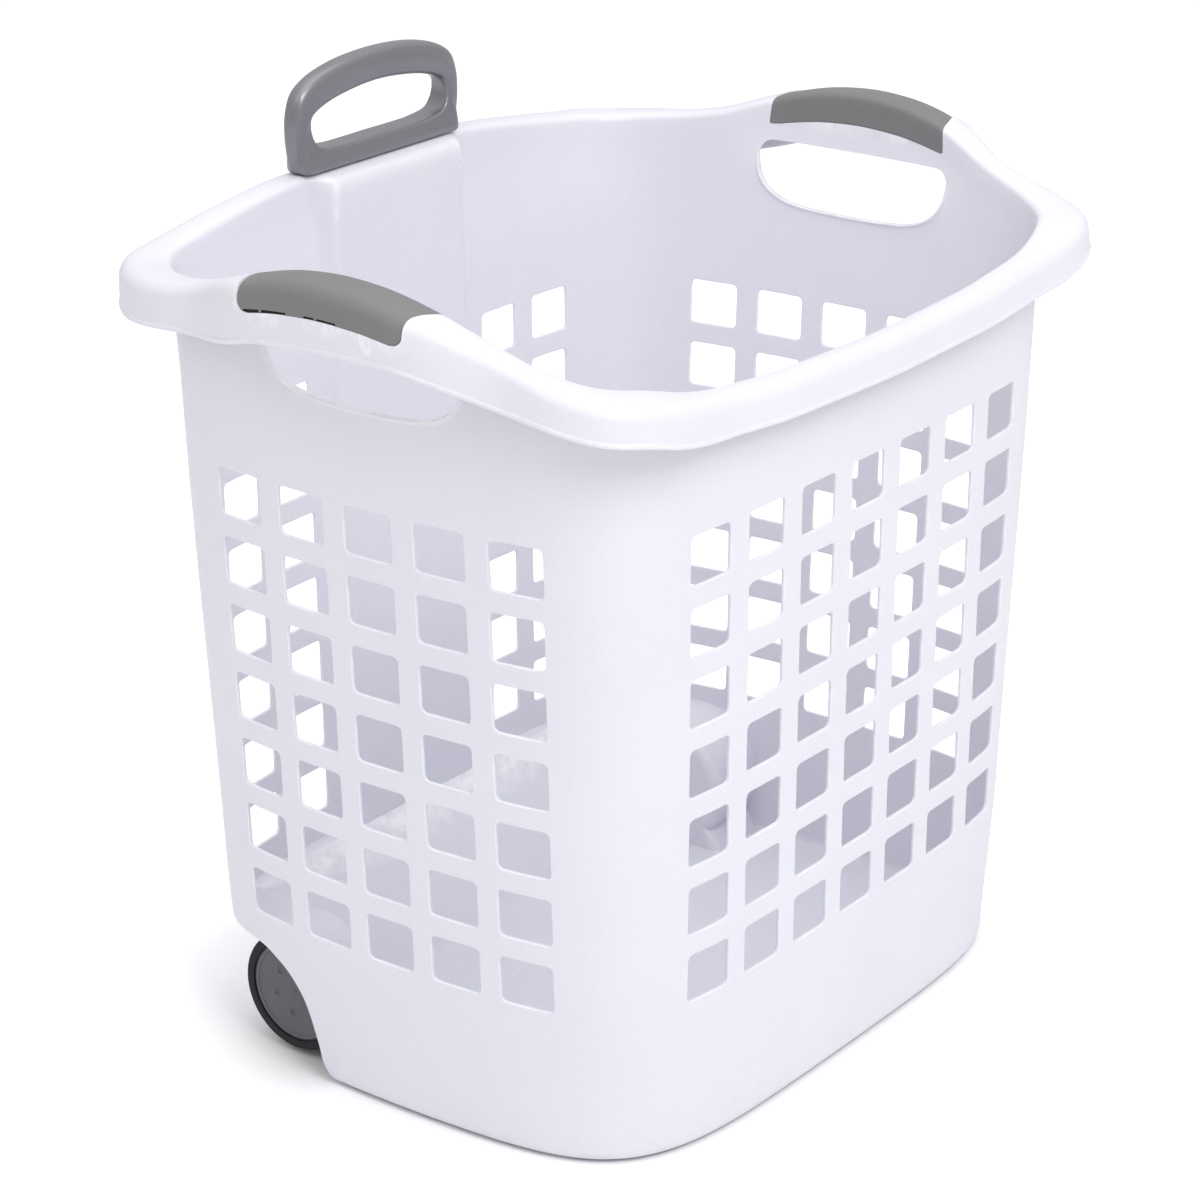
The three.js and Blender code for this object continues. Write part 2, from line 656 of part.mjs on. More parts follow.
const wheelTyre = () => latheX([
  [TYRE_IN_R, WHEEL_IN], [WHEEL_R - 1.6, WHEEL_IN], [WHEEL_R - 0.4, WHEEL_IN + 1],
  [WHEEL_R, WHEEL_IN + 3], [WHEEL_R, WHEEL_OUT - 3], [WHEEL_R - 0.4, WHEEL_OUT - 1],
  [WHEEL_R - 1.6, WHEEL_OUT], [TYRE_IN_R, WHEEL_OUT],
], WHEEL_SEGMENTS);

function wheelCap() {
  let cap = latheX([
    [0, WHEEL_OUT - 1.6], [CAP_R - 3.6, WHEEL_OUT - 1.6], [CAP_R - 3, WHEEL_OUT - 0.7],
    [CAP_R - 0.8, WHEEL_OUT - 0.7], [CAP_R - 0.2, WHEEL_OUT - 1.2],
    [CAP_R - 0.2, WHEEL_OUT - 2.3], [10.2, WHEEL_OUT - 4.2], [0, WHEEL_OUT - 4.2],
  ], WHEEL_SEGMENTS);
  for (let i = 0; i < DIMPLES; i++) {
    const angle = (((i * 360) / DIMPLES + DIMPLE_START) * Math.PI) / 180;
    const y = AXLE_Y + DIMPLE_CIRCLE_R * Math.cos(angle);
    const z = AXLE_Z + DIMPLE_CIRCLE_R * Math.sin(angle);
    cap = cap.subtract(rodX(1.9, WHEEL_OUT - 2.4, WHEEL_OUT + 2, y, z, 10));
  }
  return cap;
}

const axlePin = () => latheX([
  [0, PIN_HEAD_X - 2.6], [PIN_HEAD_R - 0.8, PIN_HEAD_X - 2.6], [PIN_HEAD_R, PIN_HEAD_X - 1.8],
  [PIN_HEAD_R, PIN_HEAD_X], [AXLE_R, PIN_HEAD_X], [AXLE_R, PIN_END - 0.6],
  [AXLE_R - 0.6, PIN_END], [0, PIN_END],
], SMALL_SEGMENTS);

const axleWasher = () => latheX([
  [BORE_R, WASHER_IN], [8.5, WASHER_IN], [8.5, WASHER_OUT], [BORE_R, WASHER_OUT],
], SMALL_SEGMENTS);

const pushNut = () => latheX([
  [BORE_R, WHEEL_OUT - 7.1], [10, WHEEL_OUT - 7.1], [10.4, WHEEL_OUT - 6.6],
  [7, WHEEL_OUT - 5.9], [BORE_R, WHEEL_OUT - 5.9],
], SMALL_SEGMENTS);

// ---------------------------------------------------------------- materials
const LOOKS = {
  body: { color: 0xf3f2f8, roughness: 0.42 },
  grip: { color: 0x7d7d7c, roughness: 0.5 },
  handle: { color: 0x83838a, roughness: 0.38 },
  pin: { color: 0xb9bcc0, roughness: 0.3, metalness: 0.9 },
  core: { color: 0x5b595f, roughness: 0.45 },
  tyre: { color: 0x212025, roughness: 0.7 },
  cap: { color: 0x646269, roughness: 0.42 },
  washer: { color: 0xa9adb2, roughness: 0.35, metalness: 0.85 },
  nut: { color: 0x9a9ea4, roughness: 0.35, metalness: 0.85 },
};

// ----------------------------------------------------------------- assembly
const group = new THREE.Group();
group.name = 'linen_trolley';

function addPiece(name, solid, materialName, look) {
  const material = new THREE.MeshStandardMaterial({ name: materialName, metalness: 0, ...look });
  const mesh = new THREE.Mesh(toGeometry(solid), material);
  mesh.name = name;
  group.add(mesh);
}

addPiece('basket_body', basketBody(), 'white_plastic', LOOKS.body);
addPiece('grip_left', sideGrip(-1), 'grip_left_grey', LOOKS.grip);
addPiece('grip_right', sideGrip(1), 'grip_right_grey', LOOKS.grip);
addPiece('pull_handle', pullHandle(), 'handle_grey', LOOKS.handle);

// [piece name, solid, material name, look]
const WHEEL_PIECES = [
  ['axle_pin', axlePin(), 'axle_steel', LOOKS.pin],
  ['wheel_core', wheelCore(), 'wheel_core', LOOKS.core],
  ['wheel_tyre', wheelTyre(), 'wheel_tyre', LOOKS.tyre],
  ['wheel_cap', wheelCap(), 'wheel_cap', LOOKS.cap],
  ['axle_washer', axleWasher(), 'washer', LOOKS.washer],
  ['push_nut', pushNut(), 'push_nut', LOOKS.nut],
];
for (const side of ['right', 'left']) {
  for (const [name, solid, materialName, look] of WHEEL_PIECES) {
    const placed = side === 'right' ? solid : solid.mirror([1, 0, 0]);
    addPiece(`${name}_${side}`, placed, `${materialName}_${side}`, look);
  }
}

export default group;
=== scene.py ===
"""Rolling basket: a perforated plastic basket with a wheel at each side under its back part,
a soft grip over the bar of each side rim and a pull handle on the back rim.

It stands on z = 0, front towards -Y, back towards +Y, right side towards +X.
Shapes are worked out in millimetres and turned into metres as each mesh is made.
Materials, the stage, lights and the camera are in metres.
"""
from contextlib import contextmanager
import math

import bmesh
import bpy
from mathutils import Matrix, Vector
from mathutils.bvhtree import BVHTree
from mathutils.geometry import delaunay_2d_cdt
from mathutils.kdtree import KDTree
import numpy as np


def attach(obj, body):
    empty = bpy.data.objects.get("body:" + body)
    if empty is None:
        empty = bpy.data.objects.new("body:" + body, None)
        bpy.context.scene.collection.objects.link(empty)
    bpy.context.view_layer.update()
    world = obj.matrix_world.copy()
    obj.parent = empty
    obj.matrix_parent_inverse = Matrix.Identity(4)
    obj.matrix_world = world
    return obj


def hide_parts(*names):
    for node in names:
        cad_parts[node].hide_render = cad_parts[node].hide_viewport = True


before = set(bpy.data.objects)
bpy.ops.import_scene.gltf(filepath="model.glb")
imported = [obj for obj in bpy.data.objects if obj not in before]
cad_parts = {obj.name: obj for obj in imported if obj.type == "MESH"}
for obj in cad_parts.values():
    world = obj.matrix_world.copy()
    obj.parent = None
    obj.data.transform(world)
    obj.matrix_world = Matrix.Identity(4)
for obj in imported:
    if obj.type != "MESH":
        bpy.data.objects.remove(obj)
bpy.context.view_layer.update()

for stray in ("Cube", "Light", "Camera"):
    if stray in bpy.data.objects:
        bpy.data.objects.remove(bpy.data.objects[stray], do_unlink=True)
MM = 0.001
SIDES = ((-1, "left"), (1, "right"))

# ============================================================== dimensions, mm
T = 2.4                                   # wall thickness
# wall distance from the middle at height Z_MID, and its growth per mm of height
HALF_W_MID, HALF_W_SLOPE = 262.7, 0.045
FRONT_MID, FRONT_SLOPE = 192.4, 0.004
BACK_MID, BACK_SLOPE = 198.6, 0.012
Z_MID, SIDE_BOW, FRONT_BOW = 268.4, 0.00046, 0.00008
# wall holes
PITCH_Z, ROW_Z0, ROWS = 47.5, 125.9, 7
PITCH_X, PX_GROW = 55.9, 0.0058 / 47.5
PITCH_Y, PY_GROW = 54.1, 0.0063 / 47.5
HOLE_W, HOLE_H, HOLE_R = 37.5, 32.5, 3.6
# wheels and the recess around them
AXLE_Y, AXLE_Z, AXLE_R = 107.4, 46.5, 4.0
WHEEL_R, WHEEL_OUT, WHEEL_IN = 42.5, 231.0, 203.0
FOOT_Y = 57.5                             # front line of the wheel recess
SKIRT_Z = 86.0                            # lower edge of the back wall
POCKET_X, POCKET_R = 198.0, 48.5          # inner cheek and radius of a wheel pocket
RAMP_Y, RAMP_END = 118.0, 189.0
HANDLE_HALF, HANDLE_Y, HANDLE_Z = 85.0, 215.0, 565.0
HANDLE_LEG_X = 45
BOTTOM_R = 9.0                            # radius of the bottom edge
BEND = BOTTOM_R * math.pi / 2             # developed length of that edge
V_END = BOTTOM_R - BEND - 6               # end of the flat flange under the walls
RIM_Z = 540.0                             # height at which the rim's plan is taken
BAR_LEAN = 6                              # outward lean of the side bars


def smooth(start, end, value):
    t = np.clip((np.asarray(value, float) - start) / (end - start), 0, 1)
    return t * t * (3 - 2 * t)


def soft_table(table, sigma=9.0):
    """Piecewise table rounded by a Gaussian, so that rim heights flow without kinks."""
    xs = np.arange(table[0][0] - 60, table[-1][0] + 60.5, 1.0)
    ys = np.interp(xs, [row[0] for row in table], [row[1] for row in table])
    kernel = np.exp(-0.5 * (np.arange(-40, 41) / sigma) ** 2)
    kernel /= kernel.sum()
    padded = np.concatenate([np.full(40, ys[0]), ys, np.full(40, ys[-1])])
    ys = np.convolve(padded, kernel, "valid")
    return lambda x: np.interp(x, xs, ys)


# Rim crest heights: (|x|, z) along the front and back, (y, z) along the sides
front_crest = soft_table([
    (-110, 511.6), (0, 509.2), (110, 511.6), (185, 518), (225, 527), (275, 540), (300, 546)])
back_crest = soft_table([
    (-84, 563), (0, 563), (84, 563), (130, 557.5), (190, 549), (275, 544), (300, 543)])
side_crest = soft_table([
    (-215, 523), (-172, 530), (-138, 539), (-108, 550), (-72, 567.5), (-36, 576.6), (0, 579.4),
    (36, 576.6), (72, 567.5), (108, 554.5), (140, 548), (215, 544)], 11)
# Lower edge of the side rim: (y, z)
side_skirt = soft_table([
    (-215, 502), (-172, 506), (-140, 513), (-105, 519), (-84, 526.5), (-58, 535.5), (-25, 537.5),
    (0, 537.5), (47, 534.5), (76, 525.5), (95, 521.5), (130, 520), (160, 517), (215, 516)], 8)


# ============================================================= basket surface
def plan_value(x, y, z, off):
    """1 on the wall's plan at height z moved out by off, less inside it, more outside."""
    half_w = HALF_W_MID + HALF_W_SLOPE * (z - Z_MID) + off
    half_d = np.where(y < 0, FRONT_MID + FRONT_SLOPE * (z - Z_MID),
                      BACK_MID + BACK_SLOPE * (z - Z_MID)) + off
    power = 8.4 - 1.6 * (1 - smooth(100, 460, z)) - 1.2 * (1 - smooth(0, 130, z))
    return ((np.abs(x) / (half_w - SIDE_BOW * y * y)) ** power
            + (np.abs(y) / (half_d - FRONT_BOW * x * x)) ** power)


def bisect(value, low, high):
    for _ in range(40):
        middle = (low + high) / 2
        outside = value(middle) > 1
        high = np.where(outside, middle, high)
        low = np.where(outside, low, middle)
    return (low + high) / 2


def polar(phi, z, off):
    """Plan point of the wall in direction phi."""
    c, s = np.cos(phi), np.sin(phi)
    one = np.ones_like(phi * z * off, dtype=float)
    r = bisect(lambda m: plan_value(m * c, m * s, z, off), 80 * one, 420 * one)
    return r * c, r * s


def y_at_x(x, z, off, sign):
    one = np.ones_like(x * z * off, dtype=float)
    return sign * bisect(lambda m: plan_value(x, sign * m, z, off), 60 * one, 300 * one)


def x_at_y(y, z, off, sign):
    one = np.ones_like(y * z * off, dtype=float)
    return sign * bisect(lambda m: plan_value(sign * m, y, z, off), 100 * one, 380 * one)


# The developed position s runs right wall, back, left, front, from the front right corner's middle.
SIDE_HALF, FRONT_HALF, CORNER = 145.0, 200.0, 100.0
RIGHT_S0 = CORNER / 2
RIGHT_S1 = RIGHT_S0 + 2 * SIDE_HALF
BACK_S0 = RIGHT_S1 + CORNER
BACK_S1 = BACK_S0 + 2 * FRONT_HALF
LEFT_S0 = BACK_S1 + CORNER
LEFT_S1 = LEFT_S0 + 2 * SIDE_HALF
FRONT_S0 = LEFT_S1 + CORNER
FRONT_S1 = FRONT_S0 + 2 * FRONT_HALF
LENGTH = FRONT_S1 + CORNER / 2


def s_right(y):
    return RIGHT_S0 + SIDE_HALF + y


def s_left(y):
    return LEFT_S0 + SIDE_HALF - y


def s_back(x):
    return BACK_S0 + FRONT_HALF - x


def s_front(x):
    return FRONT_S0 + FRONT_HALF + x


def wall_plan(s, z, off):
    """Point of the wall outline at developed position s, height z, moved out by off."""
    s, z, off = np.broadcast_arrays(
        np.asarray(s, float), np.asarray(z, float), np.asarray(off, float))
    x, y = np.zeros(s.shape), np.zeros(s.shape)

    def fill(mask, plan):
        if mask.any():
            x[mask], y[mask] = plan(s[mask], z[mask], off[mask])

    def right(q, h, o):
        y_pos = q - RIGHT_S0 - SIDE_HALF
        return x_at_y(y_pos, h, o, 1), y_pos

    def back(q, h, o):
        x_pos = FRONT_HALF - (q - BACK_S0)
        return x_pos, y_at_x(x_pos, h, o, 1)

    def left(q, h, o):
        y_pos = SIDE_HALF - (q - LEFT_S0)
        return x_at_y(y_pos, h, o, -1), y_pos

    def front(q, h, o):
        x_pos = q - FRONT_S0 - FRONT_HALF
        return x_pos, y_at_x(x_pos, h, o, -1)

    def corner(sign_x, sign_y, start, side_first):
        def plan(q, h, o):
            ys = np.full(q.shape, sign_y * SIDE_HALF)
            xs = np.full(q.shape, sign_x * FRONT_HALF)
            phi_0 = np.arctan2(ys, x_at_y(ys, h, o, sign_x))
            phi_1 = np.arctan2(y_at_x(xs, h, o, sign_y), xs)
            if not side_first:
                phi_0, phi_1 = phi_1, phi_0
            turn = (phi_1 - phi_0 + math.pi) % (2 * math.pi) - math.pi
            return polar(phi_0 + turn * ((q - start) / CORNER), h, o)
        return plan

    fill((s >= RIGHT_S0) & (s <= RIGHT_S1), right)
    fill((s >= BACK_S0) & (s <= BACK_S1), back)
    fill((s >= LEFT_S0) & (s <= LEFT_S1), left)
    fill((s >= FRONT_S0) & (s <= FRONT_S1), front)
    fill((s > RIGHT_S1) & (s < BACK_S0), corner(1, 1, RIGHT_S1, True))
    fill((s > BACK_S1) & (s < LEFT_S0), corner(-1, 1, BACK_S1, False))
    fill((s > LEFT_S1) & (s < FRONT_S0), corner(-1, -1, LEFT_S1, True))
    fill(s > FRONT_S1, corner(1, -1, FRONT_S1, False))
    fill(s < RIGHT_S0, corner(1, -1, -CORNER / 2, False))
    return x, y


def rim_plan(phi):
    return polar(phi, np.full_like(phi, RIM_Z), np.zeros_like(phi))


def beside_bar(y):
    """1 at the middle of a side's length, falling to 0 beyond its bar."""
    return 1 - smooth(60, 120, np.abs(y))


def lean_rise(z):
    return smooth(505, 555, z)


def flare_rise(z):
    return smooth(470, 556, z)


def warp(x, y, z, rim_x, rim_y, panel):
    """Lean of the side bars, and the panel of the back wall pushed in towards the front."""
    lean = BAR_LEAN * smooth(215, 262, np.abs(rim_x)) * beside_bar(rim_y)
    panel_half = 66 + 0.014 * (z - 500)
    push = (8 + 8 * flare_rise(z)) * (1 - smooth(0, 12, np.abs(x) - panel_half))
    push = np.where(y > 0, push, 0)
    return x + np.sign(x) * lean * lean_rise(z), y - panel * push, z


def back_flare(rim_x, rim_y):
    return np.where(rim_y > 0, 8 * (1 - smooth(205, 262, np.abs(rim_x))), 0)


def wall_point(s, v, depth):
    """Point of the wall at (s, v), depth below the outer surface.

    v is height; below BOTTOM_R it runs round the bottom edge and in under the floor.
    """
    s, v, depth = np.broadcast_arrays(
        np.asarray(s, float), np.asarray(v, float), np.asarray(depth, float))
    below = BOTTOM_R - v
    angle = np.clip(below / BOTTOM_R, 0, math.pi / 2)
    flange = np.maximum(0, below - BEND)
    upright = v >= BOTTOM_R
    off = np.where(upright, -depth, -BOTTOM_R + (BOTTOM_R - depth) * np.cos(angle) - flange)
    z = np.where(upright, v, BOTTOM_R - (BOTTOM_R - depth) * np.sin(angle))
    rim_x, rim_y = wall_plan(s, RIM_Z, 0.0)
    x, y = wall_plan(s, z, off + back_flare(rim_x, rim_y) * flare_rise(z))
    return np.stack(warp(x, y, z, rim_x, rim_y, 1.0), -1)


# ------------------------------------------------------------------------ rim
def rim_at(x, y):
    """Crest height, overhang and skirt height of the rim at a plan point."""
    abs_x = np.abs(x)
    side = smooth(215, 262, abs_x)
    weight = smooth(205, 255, abs_x)
    crest = (np.where(y < 0, front_crest(abs_x), back_crest(abs_x)) * (1 - weight)
             + side_crest(y) * weight)
    corner = smooth(150, 240, abs_x) * smooth(95, 175, np.abs(y))
    bar = side * (1 - smooth(50, 125, np.abs(y)))
    back = np.where(y > 0, 1 - smooth(150, 240, abs_x), 0)
    overhang = 18 + corner * np.where(y < 0, 11, 8) + 12 * bar + 6 * back
    skirt = np.where(y < 0, crest - 24, crest - 26) * (1 - weight) + side_skirt(y) * weight
    return crest, overhang, skirt


def catmull(controls, steps):
    """Centripetal curve through controls (n, m, k), steps[i] on segment i: (n, points, k)."""
    n, m, _ = controls.shape
    out = []
    extended = np.concatenate([2 * controls[:, :1] - controls[:, 1:2], controls,
                               2 * controls[:, -1:] - controls[:, -2:-1]], 1)
    for i in range(m - 1):
        near = [extended[:, i + j] for j in range(4)]
        knots = [np.zeros((n, 1))]
        for a, b in zip(near, near[1:]):
            span = np.maximum(np.linalg.norm(b - a, axis=-1), 1e-6) ** 0.5
            knots.append(knots[-1] + span[:, None])
        for q in range(steps[i]):
            t = knots[1] + (knots[2] - knots[1]) * q / steps[i]
            layer = near
            for spans in (((0, 1), (1, 2), (2, 3)), ((0, 2), (1, 3)), ((1, 2),)):
                blended = []
                for k, (lo, hi) in enumerate(spans):
                    t0, t1 = knots[lo], knots[hi]
                    blended.append((t1 - t) / (t1 - t0) * layer[k]
                                   + (t - t0) / (t1 - t0) * layer[k + 1])
                layer = blended
            out.append(layer[0])
    out.append(controls[:, -1])
    return np.stack(out, 1)


def rim_point(phi, off, z, panel, crest):
    """phi, crest are (n,), off, z, panel are (n, m)."""
    m = off.shape[1]
    rim_x, rim_y = (np.repeat(v[:, None], m, 1) for v in rim_plan(phi))
    x, y = polar(np.repeat(phi[:, None], m, 1), np.minimum(z, crest[:, None] - 6),
                 off + back_flare(rim_x, rim_y) * flare_rise(z))
    return np.stack(warp(x, y, z, rim_x, rim_y, panel), -1)


def rim_crown(wall, over, crest):
    """Top of the rim section from its outer leg to the inner wall, as (offset, z)."""
    return [(over + 0.1, crest - 12), (over - 0.9, crest - 6), (over - 4.2, crest - 1.5),
            (over * 0.6, crest + 0.8), (wall + 4.5, crest + 1.2), (wall + 0.6, crest + 0.5),
            (wall - 1.6, crest - 1.6), (wall - T, crest - 6)]


def rim_rings(phi):
    """Rings of the rim section from just above the outer wall edge to just above the inner."""
    crest, over, skirt = rim_at(*rim_plan(phi))
    wall = np.zeros_like(crest)
    # offset, z, share of the back panel's push
    section = [
        (wall, crest - 20, 1.0), (wall + 0.3, crest - 12, 0.9), (wall + 1.6, crest - 6.2, 0.8),
        (wall + 5, crest - 2.8, 0.4), (over * 0.6, crest - 1.8, 0), (over - 6, crest - 4.4, 0),
        (over - 3.2, crest - 9, 0), (over - 2.2, crest - 15, 0), (over - 1.4, skirt + 5, 0),
        (over - 1.1, skirt + 0.9, 0), (over - 0.5, skirt + 0.1, 0), (over + 0.6, skirt - 0.1, 0),
        (over + 1.5, skirt + 0.3, 0), (over + 1.9, skirt + 1.2, 0), (over + 1.85, skirt + 2.9, 0),
        (over + 1.25, skirt + 3.7, 0), (over + 1.05, skirt + 5.2, 0),
    ]
    for (off, z), panel in zip(rim_crown(wall, over, crest), (0, 0, 0, 0, 0.3, 0.5, 0.75, 0.92)):
        section.append((off, z, panel))
    section.append((wall - T, crest - 20, 1.0))
    steps = [2, 2, 3, 3, 3] + [2] * 11 + [3, 4, 5, 4, 3, 3, 3, 4, 4]
    controls = np.stack([np.stack([off, z, np.broadcast_to(panel, off.shape)], -1)
                         for off, z, panel in section], 1)
    rings = catmull(controls, steps)[:, 1:-1]
    return rim_point(phi, rings[:, :, 0], rings[:, :, 1], rings[:, :, 2], crest)


# =============================================================== mesh building
@contextmanager
def editing(mesh):
    bm = bmesh.new()
    bm.from_mesh(mesh)
    yield bm
    bm.to_mesh(mesh)
    bm.free()


def fix_winding(ob):
    """Turns a closed mesh's faces outward as one."""
    with editing(ob.data) as bm:
        if bm.calc_volume(signed=True) < 0:
            bmesh.ops.reverse_faces(bm, faces=bm.faces)


def link_object(name, mesh):
    ob = bpy.data.objects.new(name, mesh)
    bpy.context.collection.objects.link(ob)
    return ob


class Builder:
    def __init__(self):
        self.blocks, self.count, self.faces = [], 0, []

    def add(self, points):
        """Adds vertices in mm and returns their numbers."""
        points = np.asarray(points, float).reshape(-1, 3)
        first = self.count
        self.blocks.append(points)
        self.count += len(points)
        return np.arange(first, self.count)

    def face(self, ids):
        self.faces.append(tuple(int(i) for i in ids))

    def strip(self, a, b, closed=True):
        """Quads between two rows, triangles where a row is a single repeated vertex."""
        m = len(a)
        for i in range(m if closed else m - 1):
            j = (i + 1) % m
            self.face(dict.fromkeys((a[i], a[j], b[j], b[i])))

    def grid(self, rows, closed=False):
        for a, b in zip(rows[:-1], rows[1:]):
            self.strip(a, b, closed)

    def object(self, name):
        mesh = bpy.data.meshes.new(name)
        mesh.from_pydata((np.concatenate(self.blocks) * MM).tolist(), [], self.faces)
        mesh.validate()
        ob = link_object(name, mesh)
        with editing(mesh) as bm:
            bmesh.ops.remove_doubles(bm, verts=bm.verts, dist=2e-6)
            bmesh.ops.dissolve_degenerate(bm, dist=1e-7, edges=bm.edges)
            bmesh.ops.recalc_face_normals(bm, faces=bm.faces)
        mesh.polygons.foreach_set("use_smooth", [True] * len(mesh.polygons))
        mesh.update()
        return ob

    def solid(self, name):
        ob = self.object(name)
        fix_winding(ob)
        return ob


def loft(sections, name):
    """Closed solid through matching rings of points, capped at both ends."""
    builder = Builder()
    rows = [builder.add(section) for section in sections]
    builder.grid(rows, closed=True)
    builder.face(rows[0])
    builder.face(rows[-1][::-1])
    return builder.solid(name)


def prism_x(outline, x0, x1, name):
    """Closed prism along X from a list of (y, z)."""
    return loft([[(x, y, z) for y, z in outline] for x in (x0, x1)], name)


def apply_modifiers(ob):
    graph = bpy.context.evaluated_depsgraph_get()
    mesh = bpy.data.meshes.new_from_object(ob.evaluated_get(graph), depsgraph=graph)
    ob.modifiers.clear()
    old = ob.data
    ob.data = mesh
    bpy.data.meshes.remove(old)


def boolean(ob, cutter, operation):
    modifier = ob.modifiers.new("boolean", "BOOLEAN")
    modifier.object = cutter
    modifier.operation = operation
    modifier.solver = "MANIFOLD"
    apply_modifiers(ob)
    bpy.data.objects.remove(cutter, do_unlink=True)


def join(obs, name):
    bm = bmesh.new()
    for ob in obs:
        bm.from_mesh(ob.data)
        bpy.data.objects.remove(ob, do_unlink=True)
    mesh = bpy.data.meshes.new(name)
    bm.to_mesh(mesh)
    bm.free()
    return link_object(name, mesh)


def mark_sharp(ob, degrees):
    """Smooth shading with sharp edges above an angle."""
    limit = math.radians(degrees)
    with editing(ob.data) as bm:
        for face in bm.faces:
            face.smooth = True
        for edge in bm.edges:
            edge.smooth = not (edge.is_manifold and edge.calc_face_angle(0) > limit)
    ob.data.update()


def triangulate(points, faces):
    """Triangles inside faces[0] and outside faces[1:], from 2D points.

    Returns (coordinates, triangles, map from input to output numbers).
    """
    points = np.asarray(points, float)
    turned = []
    for face in faces:
        q = points[list(face)]
        double_area = np.sum(q[:, 0] * np.roll(q[:, 1], -1) - np.roll(q[:, 0], -1) * q[:, 1])
        turned.append([int(i) for i in (face if double_area > 0 else face[::-1])])
    coords, _, tris, sources, _, owners = delaunay_2d_cdt(
        [Vector((float(a), float(b))) for a, b in points], [], turned, 0, 1e-5)
    number = {}
    for i, olds in enumerate(sources):
        for old in olds:
            number[old] = i
    kept = [tri for tri, own in zip(tris, owners) if 0 in own and len(set(own)) == 1]
    return np.array([(v[0], v[1]) for v in coords]), kept, number


def line_normals(points, closed=True):
    """Mitred normals of a 2D polyline, turned to the left of its direction."""
    ahead = np.roll(points, -1, 0) - points
    ahead /= np.maximum(np.linalg.norm(ahead, axis=1), 1e-9)[:, None]
    behind = np.roll(ahead, 1, 0)
    if not closed:
        ahead[-1] = ahead[-2]
        behind[0] = ahead[0]
    tangent = ahead + behind
    tangent /= np.linalg.norm(tangent, axis=1)[:, None]
    normal = np.stack([-tangent[:, 1], tangent[:, 0]], -1)
    cosine = np.maximum(np.sum(normal * np.stack([-ahead[:, 1], ahead[:, 0]], -1), 1), 0.5)
    return normal / cosine[:, None]


def curve2d(points, steps, closed=True):
    p = np.asarray(points, float)
    if closed:
        wrapped = np.concatenate([p[-1:], p, p[:2]])
        curve = catmull(wrapped[None], [steps] * (len(wrapped) - 1))[0]
        return curve[steps:steps * (len(p) + 1)]
    return catmull(p[None], [steps] * (len(p) - 1))[0]


def mirrored(half, middle):
    """Half an outline, its middle point, and the half again with the first axis turned over."""
    return half + [middle] + [(-a, b) for a, b in half[::-1]]


def rounded_rect(half_w, half_h, r):
    """24 points: four on each corner and two between corners."""
    out = []
    for k, (sx, sy) in enumerate([(1, 1), (-1, 1), (-1, -1), (1, -1)]):
        for i in range(4):
            a = math.pi / 2 * (k + i / 3)
            out.append((sx * (half_w - r) + r * math.cos(a), sy * (half_h - r) + r * math.sin(a)))
        for t in (1 / 3, 2 / 3):
            if k % 2 == 0:
                out.append((sx * (half_w - r) * (1 - 2 * t), sy * half_h))
            else:
                out.append((sx * half_w, sy * (half_h - r) * (1 - 2 * t)))
    return np.array(out)


def fillet(corners, steps=5, closed=True):
    """Rounds the corners of a 2D polygon given as (a, b, radius)."""
    out = []
    m = len(corners)
    points = [np.array(corner[:2], float) for corner in corners]
    for i, (p, corner) in enumerate(zip(points, corners)):
        r = corner[2]
        if r <= 0 or (not closed and i in (0, m - 1)):
            out.append(tuple(p))
            continue
        a, b = points[i - 1] - p, points[(i + 1) % m] - p
        len_a, len_b = np.linalg.norm(a), np.linalg.norm(b)
        a, b = a / len_a, b / len_b
        angle = math.acos(max(-1, min(1, float(a @ b))))
        if angle > math.radians(174):
            out.append(tuple(p))
            continue
        reach = min(r / math.tan(angle / 2), len_a * 0.46, len_b * 0.46)
        r = reach * math.tan(angle / 2)
        centre = p + (a + b) / np.linalg.norm(a + b) * (r / math.sin(angle / 2))
        start = math.atan2(*(p + a * reach - centre)[::-1])
        end = math.atan2(*(p + b * reach - centre)[::-1])
        turn = (end - start + math.pi) % (2 * math.pi) - math.pi
        for k in range(steps + 1):
            w = start + turn * k / steps
            out.append((centre[0] + r * math.cos(w), centre[1] + r * math.sin(w)))
    return out


def lathe(name, profile, side, segments=144, wave=None):
    """Solid of revolution about the wheel axle from (radius, distance from the middle).

    wave(r, angles, x) moves the points of a ring along x.
    """
    builder = Builder()
    angles = np.linspace(0, 2 * math.pi, segments, endpoint=False)
    rows = []
    for r, x in profile:
        if r < 1e-6:
            rows.append(np.repeat(builder.add([(side * x, AXLE_Y, AXLE_Z)]), segments))
        else:
            shift = wave(r, angles, x) if wave else 0
            rows.append(builder.add(np.stack([
                side * (x + shift) * np.ones(segments),
                AXLE_Y + r * np.cos(angles), AXLE_Z + r * np.sin(angles)], -1)))
    if profile[0][0] > 1e-6:
        rows.append(rows[0])
    builder.grid(rows, closed=True)
    return builder.solid(name)


# ============================================================== basket body
BACK_MIDDLE = s_back(0)
PANEL_ZONE = 94                    # half width of the finely meshed zone round the back panel
CUT_BAND = 1.6                     # width of the band round a cut edge
OUTER_ROUND, INNER_ROUND = 0.95, 0.5

# Half outline of the grip opening in a side wall: (y, z), from its upper corner down
GRIP_OPENING = [(-73.5, 537.3), (-78.6, 531.5), (-78.6, 523), (-75.6, 513), (-69, 504.6),
                (-57, 497.9), (-42, 494.7), (-20, 493.3)]
GRIP_OPENING_TOP = [(60, 538.4), (30, 538.5), (0, 538.5), (-30, 538.5), (-60, 538.4)]
# Wheel arch in the right wall, from its front foot up and back: (y, z)
ARCH = [(57.5, 0), (62.7, 7.1), (67.5, 14.7), (69.8, 23.8), (72.7, 33.3), (76.5, 44.7),
        (80.8, 54.6), (86.5, 63.2), (96.4, 73.2), (106.4, 79.3), (117.3, 84.2), (128, 86)]

